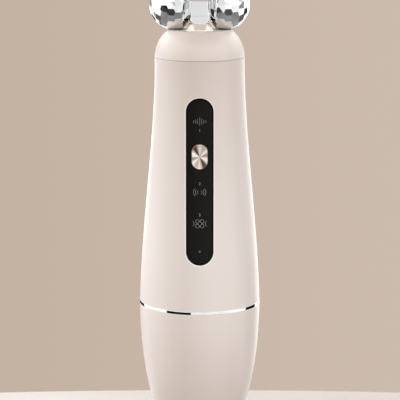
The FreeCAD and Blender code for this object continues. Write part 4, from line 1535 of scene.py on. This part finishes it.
def table_mesh():
    """Round table top."""
    radius, depth = stage().table_radius, stage().table_depth
    work = bmesh.new()
    bmesh.ops.create_cone(
        work, cap_ends=True, segments=256, radius1=radius, radius2=radius, depth=depth)
    bmesh.ops.translate(
        work, verts=work.verts, vec=Vector((0.0, stage().table_back - radius, -depth / 2)))
    mesh = mesh_of(work, "table_top")
    mesh.materials.append(table_material())
    return mesh


def soft_banks(turn, z):
    """Light that the shells take, from cool, mild and warm banks, by turn in degrees and height."""
    climb = z.step(0.0, 0.25)
    high = z.step(0.38, 0.55)
    shown = z.between(-0.5, 0.78, 0.03)

    def bank(begin, end, plain, climbing=0.0, highest=0.0):
        return turn.between(begin, end, 4.0) * (plain + climbing * climb + highest * high) * shown

    cool = bank(-138.0, -67.0, 0.69, 0.8, 0.5) + bank(-138.0, -102.0, 0.0, 0.7, 1.3)
    cool = cool + bank(137.0, 166.0, 0.5)
    behind = turn.step(98.0, 104.0)
    mild = bank(32.0, 138.0, 0.83, 0.1, 0.65) * (1.0 - behind * (1.0 - climb))
    warm = bank(-63.0, -17.0, 0.0, 0.3, 1.5) + bank(-13.0, 28.0, 0.45, 0.3, 0.7)
    return cool, mild, warm


def mirrored_banks(turn, z, mottle):
    """Light that bright metal shows: banks and dark gaps in three bands of height, over a dim floor."""
    around = turn.math("ABSOLUTE")
    under = 1.0 - z.step(-0.3, -0.27)

    low = turn.between(-172.0, -50.0, 1.5) * 1.3 + turn.between(90.0, 172.0, 1.5) * 1.3
    low = low + turn.between(-4.0, 62.0, 1.5) * 0.97

    level = turn.between(-134.0, -67.0, 1.5) * 1.3 + turn.between(-172.0, -138.0, 1.5) * 1.2 * under
    level = level + turn.between(-16.0, 99.0, 1.5) * (1.08 + 0.2 * turn.step(50.0, 75.0))
    level = level + turn.between(137.0, 166.0, 4.0) * (3.0 - 1.5 * under)

    above = 0.93 + 0.4 * around.step(14.0, 26.0) - 0.5 * around.step(160.0, 168.0)
    front_gap = 0.87 * turn.between(-42.0, -14.0, 2.0) * z.step(-0.06, -0.03)
    right_gap = turn.between(84.0, 104.0, 2.0)
    left_gap = turn.between(-158.0, -130.0, 2.0) * z.between(-0.09, 0.12, 0.02)
    back_gap = 0.6 * (1.0 - turn.step(-162.0, -156.0))
    rim_glow = 2.3 * around.step(136.0, 146.0) * (1.0 - z.step(-0.11, -0.09))
    above = above - front_gap - right_gap - left_gap - back_gap + rim_glow

    shine = low.towards(level, z.step(-0.38, -0.35)).towards(above, z.step(-0.2, -0.15))
    shine = shine * (0.86 + 0.28 * mottle) * (1.0 - 0.9 * z.between(-0.6, -0.5, 0.03))
    shine = shine.towards(0.02 + mottle * 0.55, 1.0 - z.step(-0.62, -0.58))
    return shine.math("MAXIMUM", 0.055 * under) + 1.3 * z.between(0.3, 0.72, 0.08)


def studio_world():
    """Soft banks of light with dark gaps between, as the shells, bright metal and the eye see them."""
    sizes = stage()
    world = bpy.data.worlds.new("studio")
    bpy.context.scene.world = world
    world.use_nodes = True
    bench = Bench(world.node_tree)
    bench.tree.nodes.clear()
    place = bench.out(bench.add("ShaderNodeTexCoord"), "Generated")
    x, y, z = bench.split(place)
    turn = bench.math("ARCTAN2", x, 0.0 - y) * math.degrees(1.0)
    mottle = bench.out(bench.add(
        "ShaderNodeTexNoise", {}, {"Vector": place, "Scale": 4.0, "Detail": 1.0}))
    cool, mild, warm = soft_banks(turn, z)
    overhead = z.step(0.75, 0.9)
    shine = mirrored_banks(turn, z, mottle).towards(0.62, overhead)
    paths = bench.add("ShaderNodeLightPath")
    mirrored = bench.out(paths, "Is Glossy Ray")
    channels = []
    lights = (sizes.cool_light, sizes.mild_light, sizes.warm_light, sizes.overhead_light)
    for in_cool, in_mild, in_warm, in_overhead in zip(*lights):
        soft = cool * in_cool + mild * in_mild + warm * in_warm
        bright = shine * (1.0 - (1.0 - in_overhead) * overhead)
        channels.append(soft.towards(bright, mirrored))
    tone = bench.add("ShaderNodeCombineColor", sockets=dict(enumerate(channels)))
    backdrop = bench.blend(x.step(-0.1, 0.1), linear(sizes.wall), linear(sizes.wall_light))
    colour = bench.blend(bench.out(paths, "Is Camera Ray"), bench.out(tone), backdrop)
    surface = bench.add("ShaderNodeBackground", sockets={"Color": colour, "Strength": 1.0})
    bench.add("ShaderNodeOutputWorld", sockets={"Surface": bench.out(surface)})


def aim(holder, target):
    """Turn a lamp or a camera towards a place."""
    holder.rotation_euler = (target - holder.location).to_track_quat("-Z", "Y").to_euler()


def add_lamp(name, turn, power, height, distance, side, aim_height):
    """Square lamp that lights the shells at close range and shows in no mirror."""
    lamp = bpy.data.lights.new(name, "AREA")
    lamp.shape = "SQUARE"
    lamp.size = side
    lamp.energy = power
    lamp.color = linear(stage().lamp_tint)[:3]
    holder = new_object(name, lamp)
    holder.location = (distance * math.sin(turn), -distance * math.cos(turn), height)
    aim(holder, Vector((0.0, 0.0, aim_height)))
    holder.visible_camera = False
    holder.visible_glossy = False


def add_camera():
    """Camera at the place from which the handle is shown."""
    sizes = stage()
    camera = bpy.data.cameras.new("camera")
    camera.sensor_width = 36.0
    camera.lens = sizes.focal_pixels / sizes.picture_pixels * camera.sensor_width
    holder = new_object("camera", camera)
    holder.location = (sizes.camera_aside, -sizes.camera_distance, sizes.camera_height)
    aim(holder, Vector((sizes.camera_aside, 0.0, sizes.aim_height)))
    bpy.context.scene.camera = holder


class ROLLER_HANDLE_OT_stage(bpy.types.Operator):
    """Set the table, the studio light and the camera"""
    bl_idname = "roller_handle.stage"
    bl_label = "Stage"

    def execute(self, context):
        table = new_object("table", table_mesh())
        table.visible_glossy = False
        studio_world()
        sizes = stage()
        close = (sizes.lamp_height, sizes.lamp_distance, sizes.lamp_side, sizes.lamp_height)
        add_lamp("front_lamp", sizes.front_turn, sizes.front_power, *close)
        add_lamp("side_lamp", sizes.side_turn, sizes.side_power, *close)
        small = (sizes.glow_height, sizes.glow_distance, sizes.glow_side, box_middle("neck_cap").z)
        add_lamp("left_glow", -sizes.glow_turn, sizes.left_glow, *small)
        add_lamp("right_glow", sizes.glow_turn, sizes.right_glow, *small)
        add_camera()
        context.scene.view_settings.view_transform = "Standard"
        return {"FINISHED"}


# Sidebar and registration


OPERATORS = (
    ROLLER_HANDLE_OT_finishes,
    ROLLER_HANDLE_OT_body_sleeve,
    ROLLER_HANDLE_OT_tail,
    ROLLER_HANDLE_OT_dome,
    ROLLER_HANDLE_OT_turned_trim,
    ROLLER_HANDLE_OT_lens,
    ROLLER_HANDLE_OT_button,
    ROLLER_HANDLE_OT_print,
    ROLLER_HANDLE_OT_rollers,
    ROLLER_HANDLE_OT_bracket,
    ROLLER_HANDLE_OT_stage,
)


class ROLLER_HANDLE_PT_sidebar(bpy.types.Panel):
    """Lists the settings and the steps that dress the handle"""
    bl_idname = "ROLLER_HANDLE_PT_sidebar"
    bl_label = "Roller handle"
    bl_space_type = "VIEW_3D"
    bl_region_type = "UI"
    bl_category = "Roller handle"

    def draw(self, context):
        for operator in OPERATORS:
            self.layout.operator(operator.bl_idname)
        for name, group in SETTINGS.items():
            section = self.layout.box()
            section.label(text=group.__doc__)
            for key in group.__annotations__:
                section.prop(getattr(context.scene, name), key)


CLASSES = (*SETTINGS.values(), *OPERATORS, ROLLER_HANDLE_PT_sidebar)


def register():
    for item in CLASSES:
        bpy.utils.register_class(item)
    for name, group in SETTINGS.items():
        setattr(bpy.types.Scene, name, bpy.props.PointerProperty(type=group))


def unregister():
    for name in SETTINGS:
        delattr(bpy.types.Scene, name)
    for item in reversed(CLASSES):
        bpy.utils.unregister_class(item)


def main():
    register()
    for operator in OPERATORS:
        family, name = operator.bl_idname.split(".")
        getattr(getattr(bpy.ops, family), name)()


if __name__ == "__main__":
    main()
